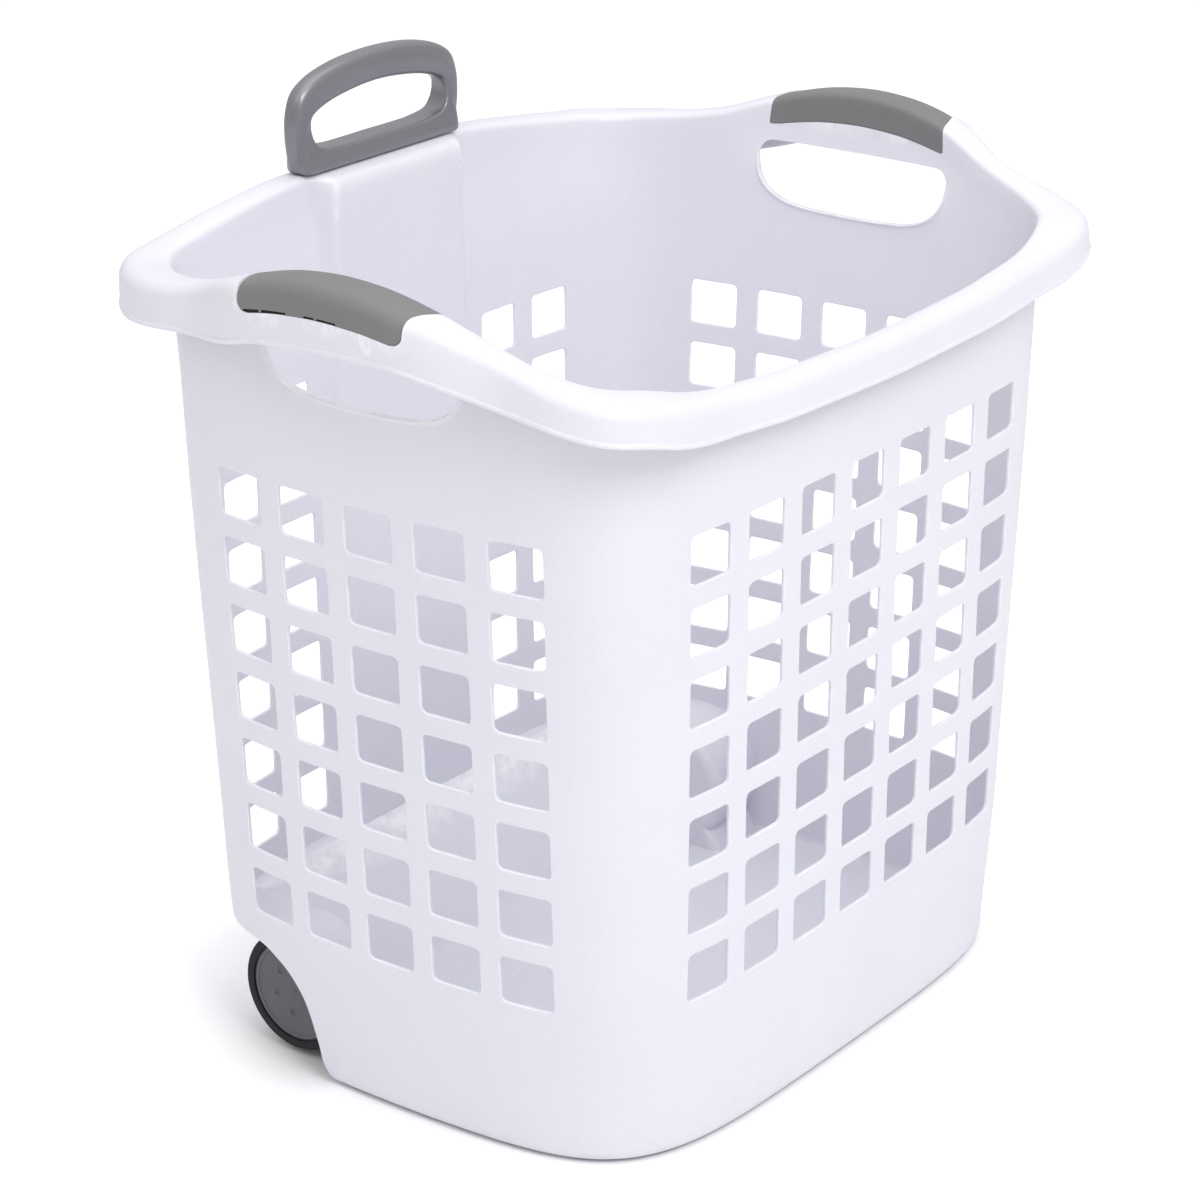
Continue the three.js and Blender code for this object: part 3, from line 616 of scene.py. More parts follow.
# An opening is a list of rings (points in (s, v), depth), from outer to inner wall.


def edge_rings():
    """(distance from the edge, depth) of the rings round a cut edge."""
    rings = [(CUT_BAND, 0.0)]
    for k in range(4):
        a = math.pi / 2 * k / 3
        rings.append((OUTER_ROUND * (1 - math.sin(a)), OUTER_ROUND * (1 - math.cos(a))))
    for k in range(4):
        a = math.pi / 2 * k / 3
        rings.append((INNER_ROUND * (1 - math.cos(a)),
                      T - INNER_ROUND + INNER_ROUND * math.sin(a)))
    rings.append((CUT_BAND, T))
    return rings


EDGE = edge_rings()


def hole_row(row):
    """Height of a hole row and its pitches along X and Y."""
    z = ROW_Z0 + row * PITCH_Z
    return z, PITCH_X * (1 + PX_GROW * (z - Z_MID)), PITCH_Y * (1 + PY_GROW * (z - Z_MID))


def lattice(row, along_x, along_y):
    """Wall positions at multiples of the hole pitches; the back has none at its middle."""
    z, pitch_x, pitch_y = hole_row(row)
    out = []
    for k in along_x:
        out.append((s_front(k * pitch_x), z))
        if abs(k) > 1:
            out.append((s_back(k * pitch_x), z))
    for k in along_y:
        out += [(s_right(k * pitch_y), z), (s_left(k * pitch_y), z)]
    return out


def hole_openings():
    centres = [c for row in range(ROWS) for c in lattice(row, range(-3, 4), range(-2, 3))]
    return [[(np.array(centre) + rounded_rect(HOLE_W / 2 + d, HOLE_H / 2 + d, HOLE_R + d), depth)
             for d, depth in EDGE] for centre in centres]


def grip_openings():
    """Openings of the side walls: lipped low down, plainly rounded along the top."""
    outline = curve2d(mirrored(GRIP_OPENING, (0, 493)) + GRIP_OPENING_TOP, 5)
    # (distance from the edge, depth)
    lip = [(4.2, 0.0), (3.2, -0.1), (2.4, -0.55), (1.6, -0.95), (0.8, -0.95), (0.2, -0.5),
           (0.0, 0.2), (0.0, 2.2), (0.2, 3.0), (0.9, 3.4), (1.8, 3.2), (2.7, 2.6), (4.2, T)]
    outer, inner = OUTER_ROUND, INNER_ROUND
    flat = [(1.6, 0.0), (1.2, 0.0), (outer, 0.0), (outer * 0.5, outer * 0.13),
            (outer * 0.13, outer * 0.5), (0.02, outer), (0, 1.0), (0, 1.6), (0.02, T - inner),
            (inner * 0.13, T - inner * 0.5), (inner * 0.5, T - inner * 0.13), (1.0, T), (1.6, T)]
    lipped = 1 - smooth(515, 534, outline[:, 1])
    outward = -line_normals(outline)
    openings = []
    for to_s in (s_right, s_left):
        rings = []
        for (lip_d, lip_depth), (flat_d, flat_depth) in zip(lip, flat):
            d = flat_d + (lip_d - flat_d) * lipped
            depth = flat_depth + (lip_depth - flat_depth) * lipped
            p = outline + outward * d[:, None]
            rings.append((np.stack([to_s(p[:, 0]), p[:, 1]], -1), depth))
        openings.append(rings)
    return openings


def v_of_z(z):
    if z >= BOTTOM_R:
        return float(z)
    return float(BOTTOM_R - BOTTOM_R * np.arcsin(np.clip((BOTTOM_R - z) / BOTTOM_R, 0, 1)))


def recess_edge():
    """Rings of the wheel recess edge: right arch, lower edge of the back wall, left arch."""
    foot = s_right(FOOT_Y)
    right = [(foot, V_END), (foot, V_END + 3)]
    right += [(s_right(y), v_of_z(z)) for y, z in curve2d(ARCH, 4, closed=False)]
    middle = [(s, SKIRT_Z) for s in np.arange(s_right(128) + 5, s_left(128) - 4, 5.0)]
    left = [(s_left(0) + s_right(0) - s, v) for s, v in right[::-1]]
    line = np.array(right + middle + left)
    normal = line_normals(line, closed=False)
    normal[:2] = (-1, 0)
    normal[-2:] = (1, 0)
    return [(line + normal * d, depth) for d, depth in EDGE]


def inside(outline, points):
    x, y = points[:, 0], points[:, 1]
    result = np.zeros(len(points), bool)
    for (x0, y0), (x1, y1) in zip(outline, np.roll(outline, -1, 0)):
        crosses = (y0 > y) != (y1 > y)
        with np.errstate(divide="ignore", invalid="ignore"):
            result ^= crosses & (x < (x1 - x0) * (y - y0) / (y1 - y0) + x0)
    return result


def wall_candidates():
    """Points that may be used inside the developed wall, most important first."""
    out = []

    def band(s0, s1, ds, v0, v1, dv):
        ns, nv = max(1, round((s1 - s0) / ds)), max(1, round((v1 - v0) / dv))
        for i in range(ns + 1):
            for j in range(nv + 1):
                out.append((s0 + (s1 - s0) * i / ns + (0.5 * (j % 2) - 0.25) * ds * 0.2,
                            v0 + (v1 - v0) * j / nv))

    # back panel, closer set at its sides
    for start, end, ds in ((-92, -54, 2.0), (-50, 50, 10), (54, 92, 2.0)):
        for i in range(int((end - start) / ds) + 1):
            out += [(BACK_MIDDLE + start + ds * i, z) for z in np.linspace(90, 562, 60)]
    # corners
    for s0, s1 in ((327, 446), (834, 953), (1217, 1336), (1724, 1775), (5, 63)):
        band(s0, s1, 5, 16, 560, 13)
    # above and below the holes
    for s0, s1 in ((6, BACK_MIDDLE - PANEL_ZONE), (BACK_MIDDLE + PANEL_ZONE, LENGTH - 6)):
        band(s0, s1, 10, 436, 560, 11)
    band(6, LENGTH - 6, 10, 14, 101, 11)
    # bottom edge
    for k in range(1, 6):
        for s in np.arange(4, LENGTH - 3, 6.0):
            out.append((s, BOTTOM_R - BEND * k / 6))
    for s in np.arange(4, LENGTH - 3, 6.0):
        out += [(s, BOTTOM_R), (s, BOTTOM_R - BEND), (s, V_END + 3)]
    # between the holes
    for row in range(-1, ROWS):
        out += lattice(row + 0.5, np.arange(-3.5, 4), np.arange(-2.5, 3))
    return np.array(out)


def wall_interior(bound, outline_count, opening_ids):
    """Candidates inside the outline, outside the openings and not too close together."""
    candidates = wall_candidates()
    keep = inside(bound[:outline_count], candidates)
    for ids in opening_ids:
        q = bound[ids]
        lo, hi = q.min(0) - 3, q.max(0) + 3
        near = np.nonzero(keep & np.all((candidates > lo) & (candidates < hi), axis=1))[0]
        if len(near):
            keep[near[inside(q, candidates[near])]] = False
    candidates = candidates[keep]
    tree = KDTree(len(bound) + len(candidates))
    for i, p in enumerate(np.concatenate([bound, candidates])):
        tree.insert((p[0], p[1], 0), i)
    tree.balance()
    used = []
    for i, p in enumerate(candidates, len(bound)):
        fine = p[1] < 12 or abs(p[0] - BACK_MIDDLE) < PANEL_ZONE
        found = tree.find_range((p[0], p[1], 0), 1.6 if fine else 2.2)
        if all(j >= i for _, j, _ in found):
            used.append(tuple(p))
    return used


def add_floor(builder, recess_rows, foot_ids):
    """Floor panel, with the front edge of the wheel recess.

    foot_ids are the (outer, inner) vertices round the foot of the walls.
    """
    rows = []
    for row, (d, depth) in zip(recess_rows, EDGE):
        right = wall_point(s_right(FOOT_Y) - d, V_END, depth)
        left = wall_point(s_left(FOOT_Y) + d, V_END, depth)
        between = np.linspace(0, 1, 47)[1:-1, None]
        line = builder.add(right + (left - right) * between)
        rows.append(np.concatenate([[row[0]], line, [row[-1]]]))
    builder.grid(rows)
    placed = np.concatenate(builder.blocks)
    lattice_points = np.array([(x, y) for x in np.arange(-230, 231, 18.0)
                               for y in np.arange(-165, 50, 18.0)])
    for foot, line, z in ((foot_ids[0], rows[0], 0.0), (foot_ids[1], rows[-1], T)):
        ring = [int(i) for i in foot] + [int(i) for i in line[::-1][1:-1]]
        outline = placed[ring][:, :2]
        inner = lattice_points[inside(outline, lattice_points)]
        inner = np.array([p for p in inner if np.min(np.hypot(*(outline - p).T)) > 8])
        coords, tris, number = triangulate(
            np.concatenate([outline, inner]), [list(range(len(outline)))])
        ids = np.full(len(coords), -1)
        for i in range(len(outline)):
            ids[number[i]] = ring[i]
        new = [i for i in range(len(coords)) if ids[i] < 0]
        ids[new] = builder.add(np.array([(coords[i][0], coords[i][1], z) for i in new]))
        for tri in tris:
            builder.face(ids[list(tri)])


def build_basket():
    builder = Builder()
    openings = hole_openings() + grip_openings()
    recess = recess_edge()
    recess_line = recess[0][0]

    # outline of the developed wall, cut open at s = 0
    top_s = np.linspace(0, LENGTH, 397)
    crest, _, _ = rim_at(*wall_plan(top_s, RIM_Z, 0.0))
    top = np.stack([top_s, crest - 20], -1)
    cut_v = [V_END, V_END + 3] + [BOTTOM_R - BEND * k / 6 for k in range(6, -1, -1)]
    cut_v += list(np.linspace(BOTTOM_R, top[0, 1], 40)[1:-1])
    foot_right = [(s, V_END) for s in np.arange(0, recess_line[0, 0] - 3, 5.0)][1:]
    foot_left = [(s, V_END) for s in np.arange(LENGTH, recess_line[-1, 0] + 3, -5.0)][1:]
    outline = [(0.0, V_END)] + foot_right + [tuple(p) for p in recess_line]
    outline += foot_left[::-1] + [(LENGTH, V_END)] + [(LENGTH, v) for v in cut_v[1:]]
    top_start = len(outline)
    outline += [tuple(p) for p in top[::-1]] + [(0.0, v) for v in cut_v[:0:-1]]

    points = list(outline)
    opening_ids = []
    for rings in openings:
        line = rings[0][0]
        opening_ids.append(list(range(len(points), len(points) + len(line))))
        points += [tuple(p) for p in line]
    points += wall_interior(np.array(points), len(outline), opening_ids)

    # outer and inner wall
    coords, tris, number = triangulate(points, [list(range(len(outline)))] + opening_ids)
    outer, inner = (builder.add(wall_point(coords[:, 0], coords[:, 1], h)) for h in (0.0, T))
    for tri in tris:
        builder.face(outer[list(tri)])
        builder.face(inner[list(tri[::-1])])

    def edge_rows(rings, ids):
        ids = [number[i] for i in ids]
        middle = [builder.add(wall_point(p[:, 0], p[:, 1], depth)) for p, depth in rings[1:-1]]
        return [outer[ids]] + middle + [inner[ids]]

    for rings, ids in zip(openings, opening_ids):
        builder.grid(edge_rows(rings, ids), closed=True)
    recess_start = 1 + len(foot_right)
    recess_end = recess_start + len(recess_line)
    recess_rows = edge_rows(recess, range(recess_start, recess_end))
    builder.grid(recess_rows)

    foot = [number[i] for i in range(recess_start, -1, -1)]
    foot += [number[i] for i in range(recess_end + len(foot_left) - 1, recess_end - 2, -1)]
    add_floor(builder, recess_rows, (outer[foot], inner[foot]))

    # rim
    top_ids = [number[i] for i in range(top_start, top_start + len(top))]
    x, y = wall_plan(top[::-1][:, 0], RIM_Z, 0.0)
    rings = rim_rings(np.arctan2(y, x))
    rows = [builder.add(rings[:, k]) for k in range(rings.shape[1])]
    builder.grid([outer[top_ids]] + rows + [inner[top_ids]])
    return builder.object("basket")


# ---------------------------------------------------------- floor over the wheels
def basket_limit():
    """Solid a little smaller than the lower basket, to trim the floor parts to it."""
    s = np.linspace(0, LENGTH, 361)[:-1]
    top = 110
    sections = []
    for z in (-6, 0.0, 0.4, 1.2, 2.4, 4.0, 6.2, BOTTOM_R, (BOTTOM_R + top) / 2, top):
        low = min(max(BOTTOM_R - z, 0.0) / BOTTOM_R, 1.0)
        x, y = wall_plan(s, max(z, 0.0), -1.2 - BOTTOM_R * (1 - math.sqrt(1 - low * low)))
        x, y, z = warp(x, y, np.full_like(x, z), *wall_plan(s, RIM_Z, 0.0), 1.0)
        sections.append(np.stack([x, y, z], -1))
    return loft(sections, "limit")


def pocket(side, x_in, grow, radius, low, name):
    """Solid over a wheel, rounded where its inner cheek at x_in turns into the arch."""
    sections = [(x_in + radius * (1 - math.cos(a)), grow - radius + radius * math.sin(a))
                for a in np.linspace(0, math.pi / 2, 9)] + [(290.0, grow)]
    rings = []
    for x, g in sections:
        r = POCKET_R + g
        toe = FOOT_Y - g
        outline = [(250.0, AXLE_Z + POCKET_R + g)]
        outline += [(AXLE_Y + r * math.cos(a), AXLE_Z + r * math.sin(a))
                    for a in np.linspace(math.pi / 2, math.pi * 1.2, 26)]
        outline += [(toe + 8, 16), (toe + 2, 6), (toe, 0.3), (toe, low), (250.0, low)]
        rings.append([(side * x, y, z) for y, z in outline])
    return loft(rings, name)


def underfloor():
    """Floor between the wheel pockets, the ramp up to the back wall, pockets and bosses."""
    front = 46
    # thickness of the sloping ramp measured along Y
    ramp_t = T * math.hypot(RAMP_END - RAMP_Y, SKIRT_Z) / SKIRT_Z
    # (y, z, rounding)
    low = fillet([(front, 0.0, 0), (RAMP_Y, 0.0, 26), (RAMP_END, SKIRT_Z, 7),
                  (216, SKIRT_Z, 0)], 10, closed=False)
    top = fillet([(front, T, 0), (RAMP_Y - ramp_t + 2, T, 24),
                  (RAMP_END - ramp_t + 2.2, SKIRT_Z + T, 9), (216, SKIRT_Z + T, 0)],
                 10, closed=False)
    void = fillet([(front, -8.0, 0), (front, 0.0, 0), (RAMP_Y, 0.0, 26),
                   (RAMP_END, SKIRT_Z, 7), (300, SKIRT_Z, 0), (300, -8, 0)], 10)
    ob = prism_x(low + top[::-1], -POCKET_X + 0.1, POCKET_X - 0.1, "underfloor")
    for side, _ in SIDES:
        boolean(ob, pocket(side, POCKET_X - T, T, 8.4, 0.0, "pocket"), "UNION")
    boolean(ob, prism_x(void, -POCKET_X, POCKET_X, "void"), "DIFFERENCE")
    for side, _ in SIDES:
        boolean(ob, pocket(side, POCKET_X, 0.0, 6.0, -9.0, "hollow"), "DIFFERENCE")
    boolean(ob, basket_limit(), "INTERSECT")
    for side, _ in SIDES:
        boss = fillet([(0, 189.6, 0), (9.0, 189.6, 1.2), (9.0, 197.0, 0), (0, 197.0, 0)],
                      closed=False)
        boolean(ob, lathe("boss", boss, side, 72), "UNION")
        bore = [(0, 186.0), (4.12, 186.0), (4.12, 202.0), (0, 202.0)]
        boolean(ob, lathe("bore", bore, side, 72), "DIFFERENCE")
    return ob


# ---------------------------------------------------------------- side grips
# Length factor of the grip at even steps round its section, inner low edge to outer low edge
STRETCH = [1.06, 1.055, 1.045, 1.03, 1.01, 0.98, 0.955, 0.94, 0.93, 0.89]
GRIP_HALF = 69.0
GRIP_GIRTH = 74.0                  # length round the section
GRIP_CORNER, GRIP_EDGE = 7.5, 1.15
# (y0, y1) of the slots near the lower outer edge of each grip
WINDOWS = ((39.8, 52.1), (20.0, 37.9), (0.2, 7.3), (-14.6, -1.7))


def bar_rim(side, y):
    """Direction, crest height and overhang of a side bar at y."""
    phi = np.arctan2(y, side * 272.0)
    crest, over, _ = rim_at(*rim_plan(phi))
    return phi, crest, over


def point_at(u, travel, section):
    return np.array([np.interp(u, travel, section[:, 0]), np.interp(u, travel, section[:, 1])])


def saddle_row(side, u, ws, height, half):
    """Row of points over a side bar, raised by height from its surface.

    u is the place round the section (0 inner low, 1 outer low), ws the places along it (-1 to 1).
    """
    y = half * np.interp(u, np.linspace(0, 1, 10), STRETCH) * ws
    phi, crest, over = bar_rim(side, y)
    wall = np.zeros_like(crest)
    section = [(wall - T, crest - (21 - 3 * ws ** 2)), (wall - T, crest - 13)]
    section += rim_crown(wall, over, crest)[::-1]
    section += [(over + 0.5, crest - (20 - 2 * ws ** 2))]
    dense = catmull(np.stack([np.stack(point, -1) for point in section], 1), [8] * 10)
    steps = np.linalg.norm(np.diff(dense, axis=1), axis=2)
    travel = np.concatenate([np.zeros((len(y), 1)), np.cumsum(steps, 1)], 1)
    travel /= travel[:, -1:]
    off, z = np.zeros(len(y)), np.zeros(len(y))
    for i in range(len(y)):
        base = point_at(u, travel[i], dense[i])
        along = (point_at(min(u + 0.03, 1), travel[i], dense[i])
                 - point_at(max(u - 0.03, 0), travel[i], dense[i]))
        size = math.hypot(along[0], along[1])
        off[i] = base[0] + -along[1] / size * height[i]
        z[i] = base[1] + along[0] / size * height[i]
    x, _ = polar(phi, np.minimum(z, crest - 6), off)
    x = x + side * BAR_LEAN * beside_bar(y) * lean_rise(z)
    return np.stack([x, y, z], -1)


def rounding_drop(distance, r):
    """Drop of a quarter round of radius r at a distance from its edge."""
    return r - np.sqrt(np.maximum(0, r * r - (r - distance) ** 2))


def grip_piece(side, name, top, bottom, half, seat=False):
    """Closed saddle between two heights over the bar; a seat has no rounded edges."""
    if seat:
        us = np.linspace(0, 1, 60)
        ws = np.linspace(-1, 1, 60)
    else:
        near = np.array([0, 0.12, 0.35, 0.7, 1.15, 1.8, 3.0])
        inset = 5 / GRIP_GIRTH
        us = np.concatenate([near / GRIP_GIRTH, np.linspace(inset, 1 - inset, 46),
                             1 - near[::-1] / GRIP_GIRTH])
        ws = np.concatenate([-1 + near / half, np.linspace(-1 + 5 / half, 1 - 5 / half, 56),
                             1 - near[::-1] / half])
    u_grid, w_grid = np.meshgrid(us, ws, indexing="ij")
    # rounded corners of the plan: rows near the outer and inner low edges are shorter
    from_low = np.minimum(1 - u_grid, 3.0 * u_grid) * GRIP_GIRTH
    cut = np.where(from_low < GRIP_CORNER, rounding_drop(from_low, GRIP_CORNER), 0)
    w_cut = w_grid * (1 - cut / half)
    to_edge = np.minimum(np.minimum(u_grid, 1 - u_grid) * GRIP_GIRTH, (1 - np.abs(w_grid)) * half)
    drop = rounding_drop(np.minimum(to_edge, GRIP_EDGE), GRIP_EDGE)
    top_height = np.full_like(u_grid, top) if seat else top - drop
    builder = Builder()
    upper, lower = (
        [builder.add(saddle_row(side, us[i], w_cut[i], heights[i], half)) for i in range(len(us))]
        for heights in (top_height, np.full_like(u_grid, bottom)))
    builder.grid(upper)
    for a, b in zip(lower[:-1], lower[1:]):
        builder.strip(b, a, closed=False)
    builder.strip(lower[0], upper[0], closed=False)
    builder.strip(upper[-1], lower[-1], closed=False)
    builder.strip([row[0] for row in upper], [row[0] for row in lower], closed=False)
    builder.strip([row[-1] for row in lower], [row[-1] for row in upper], closed=False)
    return builder.solid(name)


def catch_window(side, y0, y1):
    """Cutter for a slot in a grip's outer leg near its lower edge, from y0 to y1."""
    y = np.linspace(y0, y1, 14)
    phi, crest, over = bar_rim(side, y)
    low = crest - 20 + 2 * (y / GRIP_HALF) ** 2
    off = np.stack([over - 0.7, over + 2.6, over + 2.6, over - 0.7], 1)
    z = np.stack([low - 0.9, low - 0.9, low + 1.6, low + 1.6], 1)
    return loft(rim_point(phi, off, z, np.zeros_like(z), crest), "window")


def build_grip(side, label):
    grip = grip_piece(side, "grip_shell_" + label, 0.35, -1.4, GRIP_HALF)
    cutter = join([catch_window(side, y0, y1) for y0, y1 in WINDOWS], "windows")
    tree = BVHTree.FromPolygons([v.co.copy() for v in cutter.data.vertices],
                                [tuple(p.vertices) for p in cutter.data.polygons])
    boolean(grip, cutter, "DIFFERENCE")
    mark_sharp(grip, 45)
    dress(grip, "grip_grey", "grip_" + label, "chassis")
    # painted shade: the faces cut by the windows take the black material so the slots read as dark
    # gaps
    grip.data.materials.append(materials["tyre_black"])
    for face in grip.data.polygons:
        if tree.find_nearest(face.center)[3] < 2e-5:
            face.material_index = 1


# --------------------------------------------------------------- pull handle
# Right half of the hand opening: (x, height over HANDLE_Z), then its lower edge
HAND_HALF = [(67, 18), (71.5, 27), (69, 37), (55, 43), (28, 47.6)]
HAND_BASE = [(-50, 14.2), (0, 13.6), (50, 14.2)]
# Handle foot: height, thickness along Y, inset of the ends
FOOT_SECTIONS = [
    (0.0, 21.0, 3.4), (0.5, 22.0, 2.6), (1.6, 22.5, 2.1), (3.5, 22.5, 1.8), (6, 21.8, 1.5),
    (9, 20.8, 1.2), (13, 19.4, 1.1), (18, 18.2, 1.3), (24, 16.8, 2.4), (31, 14.6, 4.6),
    (36, 11.5, 6.6)]


def ring_at(ring, centre, angles):
    """Points of a closed (x, z) ring in the given directions from the centre."""
    own = np.unwrap(np.arctan2(ring[:, 1] - centre[1], ring[:, 0] - centre[0])) % (2 * math.pi)
    order = np.argsort(own)
    own, ring = own[order], ring[order]
    own = np.concatenate([own[-1:] - 2 * math.pi, own, own[:1] + 2 * math.pi])
    ring = np.concatenate([ring[-1:], ring, ring[:1]])
    return np.stack([np.interp(angles, own, ring[:, k]) for k in (0, 1)], -1)


def handle_loop(hand):
    """Loop between the handle's outline and the hand opening, of rounded box section."""
    half, base = HANDLE_HALF, HANDLE_Z
    outer = curve2d(mirrored([
        (half - 1.4, base + 1), (half - 0.2, base + 10), (half + 1, base + 24),
        (half + 0.5, base + 40), (half - 4, base + 53.5), (half - 17, base + 62.3),
        (half - 44, base + 69.4)], (0, base + 72.2)), 8, closed=False)
    outer = np.concatenate([outer, np.linspace(outer[-1], outer[0], 22)[1:-1]])
    centre = np.array([0, base + 30])
    count = 260
    angles = np.linspace(0, 2 * math.pi, count, endpoint=False)
    # even spacing along the middle line
    middle = (ring_at(outer, centre, angles) + ring_at(hand, centre, angles)) / 2
    steps = np.linalg.norm(np.diff(np.concatenate([middle, middle[:1]]), axis=0), axis=1)
    travel = np.concatenate([[0], np.cumsum(steps)])
    angles = np.interp(np.linspace(0, travel[-1], count, endpoint=False), travel,
                       np.concatenate([angles, [2 * math.pi]]))
    out_line, in_line = ring_at(outer, centre, angles), ring_at(hand, centre, angles)
    for _ in range(2):
        out_line, in_line = ((np.roll(p, 1, 0) + 2 * p + np.roll(p, -1, 0)) / 4
                             for p in (out_line, in_line))
    section_steps = 36
    power = 2.0 / 3.1
    builder = Builder()
    rows = []
    for k in range(section_steps):
        t = 2 * math.pi * k / section_steps
        # across runs from -1 at the opening to 1 at the outline
        across = math.copysign(abs(math.cos(t)) ** power, math.cos(t))
        along_y = math.copysign(abs(math.sin(t)) ** power, math.sin(t))
        xz = in_line + (out_line - in_line) * (0.5 + 0.5 * across)
        z = xz[:, 1]
        depth = 8.0 + 0.6 * smooth(base + 30, base + 62, z)
        rows.append(builder.add(np.stack([xz[:, 0], HANDLE_Y + along_y * depth, z], -1)))
    rows.append(rows[0])
    builder.grid(rows, closed=True)
    return builder.solid("handle_loop")


def handle_foot(hand):
    """Flared foot over the rim, with the hand opening cut through it."""
    sections = []
    for dz, thickness, inset in FOOT_SECTIONS:
        half_x, half_y = HANDLE_HALF - 1.0 - inset, thickness / 2
        r = min(6.0, half_y - 0.8)
        y_mid = HANDLE_Y - 1.0 * (1 - float(smooth(0, 22, dz)))
        ring = []
        for sx, sy, start in ((1, 1, 0), (-1, 1, 90), (-1, -1, 180), (1, -1, 270)):
            for step in range(0, 91, 10):
                a = math.radians(start + step)
                ring.append((sx * (half_x - r) + r * math.cos(a),
                             y_mid + sy * (half_y - r) + r * math.sin(a), HANDLE_Z + dz))
        sections.append(ring)
    foot = loft(sections, "handle_foot")
    cut = loft([np.stack([hand[:, 0], np.full(len(hand), y), hand[:, 1]], -1)
                for y in (HANDLE_Y - 40, HANDLE_Y + 40)], "handle_cut")
    boolean(foot, cut, "DIFFERENCE")
    return foot


def handle_leg(side):
    """Hooked leg that goes down through a slot of the rim."""
    front, back, base = HANDLE_Y - 3, HANDLE_Y + 3, HANDLE_Z
    outline = [(front, base - 16), (back, base - 16), (HANDLE_Y + 5.5, base - 8),
               (back, base - 8), (back, base + 6), (front, base + 6)]
    middle = side * HANDLE_LEG_X
    return prism_x(outline, middle - 12, middle + 12, "leg")


def leg_slot(side):
    front, back = HANDLE_Y - 3.3, HANDLE_Y + 5.9
    middle = side * HANDLE_LEG_X
    return prism_x([(front, 550), (back, 550), (back, 580), (front, 580)],
                   middle - 12.3, middle + 12.3, "slot")


def build_handle():
    hand = mirrored(HAND_HALF, (0, 49.4)) + HAND_BASE
    hand = curve2d([(x, HANDLE_Z + z) for x, z in hand], 8)
    parts = [handle_loop(hand), handle_foot(hand)] + [handle_leg(side) for side, _ in SIDES]
    ob = join(parts, "pull_handle_shell")
    remesh = ob.modifiers.new("remesh", "REMESH")
    remesh.mode = "VOXEL"
    remesh.voxel_size = 0.85 * MM
    remesh.adaptivity = 0
    soften = ob.modifiers.new("smooth", "SMOOTH")
    soften.factor = 0.5
    soften.iterations = 16
    apply_modifiers(ob)
    ob.data.polygons.foreach_set("use_smooth", [True] * len(ob.data.polygons))
    return ob


# -------------------------------------------------------------------- wheels
# Profiles are (radius, distance from the basket's middle plane, rounding).
def wheel_tyre(side, label):
    r, out, bead = WHEEL_R, WHEEL_OUT, WHEEL_R - 6.4
    profile = fillet([
        (r - 2.9, WHEEL_IN, 0.3), (r - 0.1, WHEEL_IN, 1.3), (r, WHEEL_IN + 3.5, 2.5),
        (r, (WHEEL_IN + out) / 2, 20), (r, out - 3.5, 2.5), (r - 0.1, out, 1.6),
        (bead, out - 0.2, 0.9), (bead, out - 1.9, 0.2), (r - 2.9, out - 1.9, 0.2)], 6)
    return lathe("tyre_" + label, profile, side)


def spoke(side, angle):
    c, s = math.cos(angle), math.sin(angle)
    bm = bmesh.new()
    bmesh.ops.create_cube(bm, size=1.0)
    for v in bm.verts:
        x, r, t = v.co.x * 16 + WHEEL_IN + 10.5, v.co.y * 28.5 + 22, v.co.z * 2.4
        v.co = Vector((side * x, AXLE_Y + r * c - t * s, AXLE_Z + r * s + t * c)) * MM
    bmesh.ops.bevel(bm, geom=bm.edges[:], offset=0.5 * MM, segments=2, affect="EDGES",
                    profile=0.5)
    mesh = bpy.data.meshes.new("spoke")
    bm.to_mesh(mesh)
    bm.free()
    ob = link_object("spoke", mesh)
    fix_winding(ob)
    return ob


def wheel_core(side, label):
    out, bore, r = WHEEL_OUT, AXLE_R + 0.1, WHEEL_R - 3.2
    profile = fillet([
        (bore, 200.9, 0.3), (9, 200.9, 0.6), (9, out - 11, 1.2), (14.5, out - 11, 1.2),
        (16, out - 7.8, 1.5), (r - 3.2, out - 6.2, 1.5), (r - 3.2, WHEEL_IN + 0.8, 0.5),
        (r, WHEEL_IN + 0.8, 0.4), (r, out - 2.2, 0.3), (r - 3.4, out - 2.2, 0.3),
        (r - 3.4, out - 2.9, 0.2), (13, out - 4.6, 0.6), (12, out - 7.5, 0.4),
        (bore, out - 7.5, 0.3)], 4)
    core = lathe("core_" + label, profile, side)
    spokes = [spoke(side, k * math.pi / 3) for k in range(6)]
    boolean(core, join(spokes, "spokes"), "UNION")
    return core


def wheel_cap(side, label):
    """Shallow dish with a raised ring near its edge, six dimples and a small centre mark."""
    out, r_cap = WHEEL_OUT, WHEEL_R - 7.2
    radii = np.concatenate([np.arange(0.5, 5.1, 0.5), np.arange(6, 14, 1.0),
                            np.arange(14, 21.3, 0.45), np.arange(22, 30.6, 1.0)])
    dish = [(0.0, out - 2.0)] + [(r, out - 2.0 + 0.25 * float(smooth(20, 31, r))) for r in radii]
    edge = fillet([
        (30.6, out - 1.75, 0), (32.0, out - 1.7, 0.8), (32.7, out - 0.75, 0.5),
        (r_cap - 0.9, out - 0.75, 0.6), (r_cap, out - 1.5, 0.3), (r_cap, out - 2.5, 0.3),
        (10.2, out - 4.2, 0), (0, out - 4.2, 0)], closed=False)

    def dimples(r, angles, x):
        if x < out - 2.3:
            return 0
        shift = np.zeros(len(angles))
        for a in np.radians(-20 + 60 * np.arange(6)):
            q = np.hypot(r * np.cos(angles) - 17.5 * math.cos(a),
                         r * np.sin(angles) - 17.5 * math.sin(a))
            shift -= 1.0 * (1 - smooth(1.2, 2.7, q))
            shift += 0.28 * np.exp(-((q - 3.2) / 0.55) ** 2)
        shift -= 0.5 * (1 - smooth(1.2, 2.2, r))
        return shift

    return lathe("cap_" + label, dish + edge, side, 200, dimples)


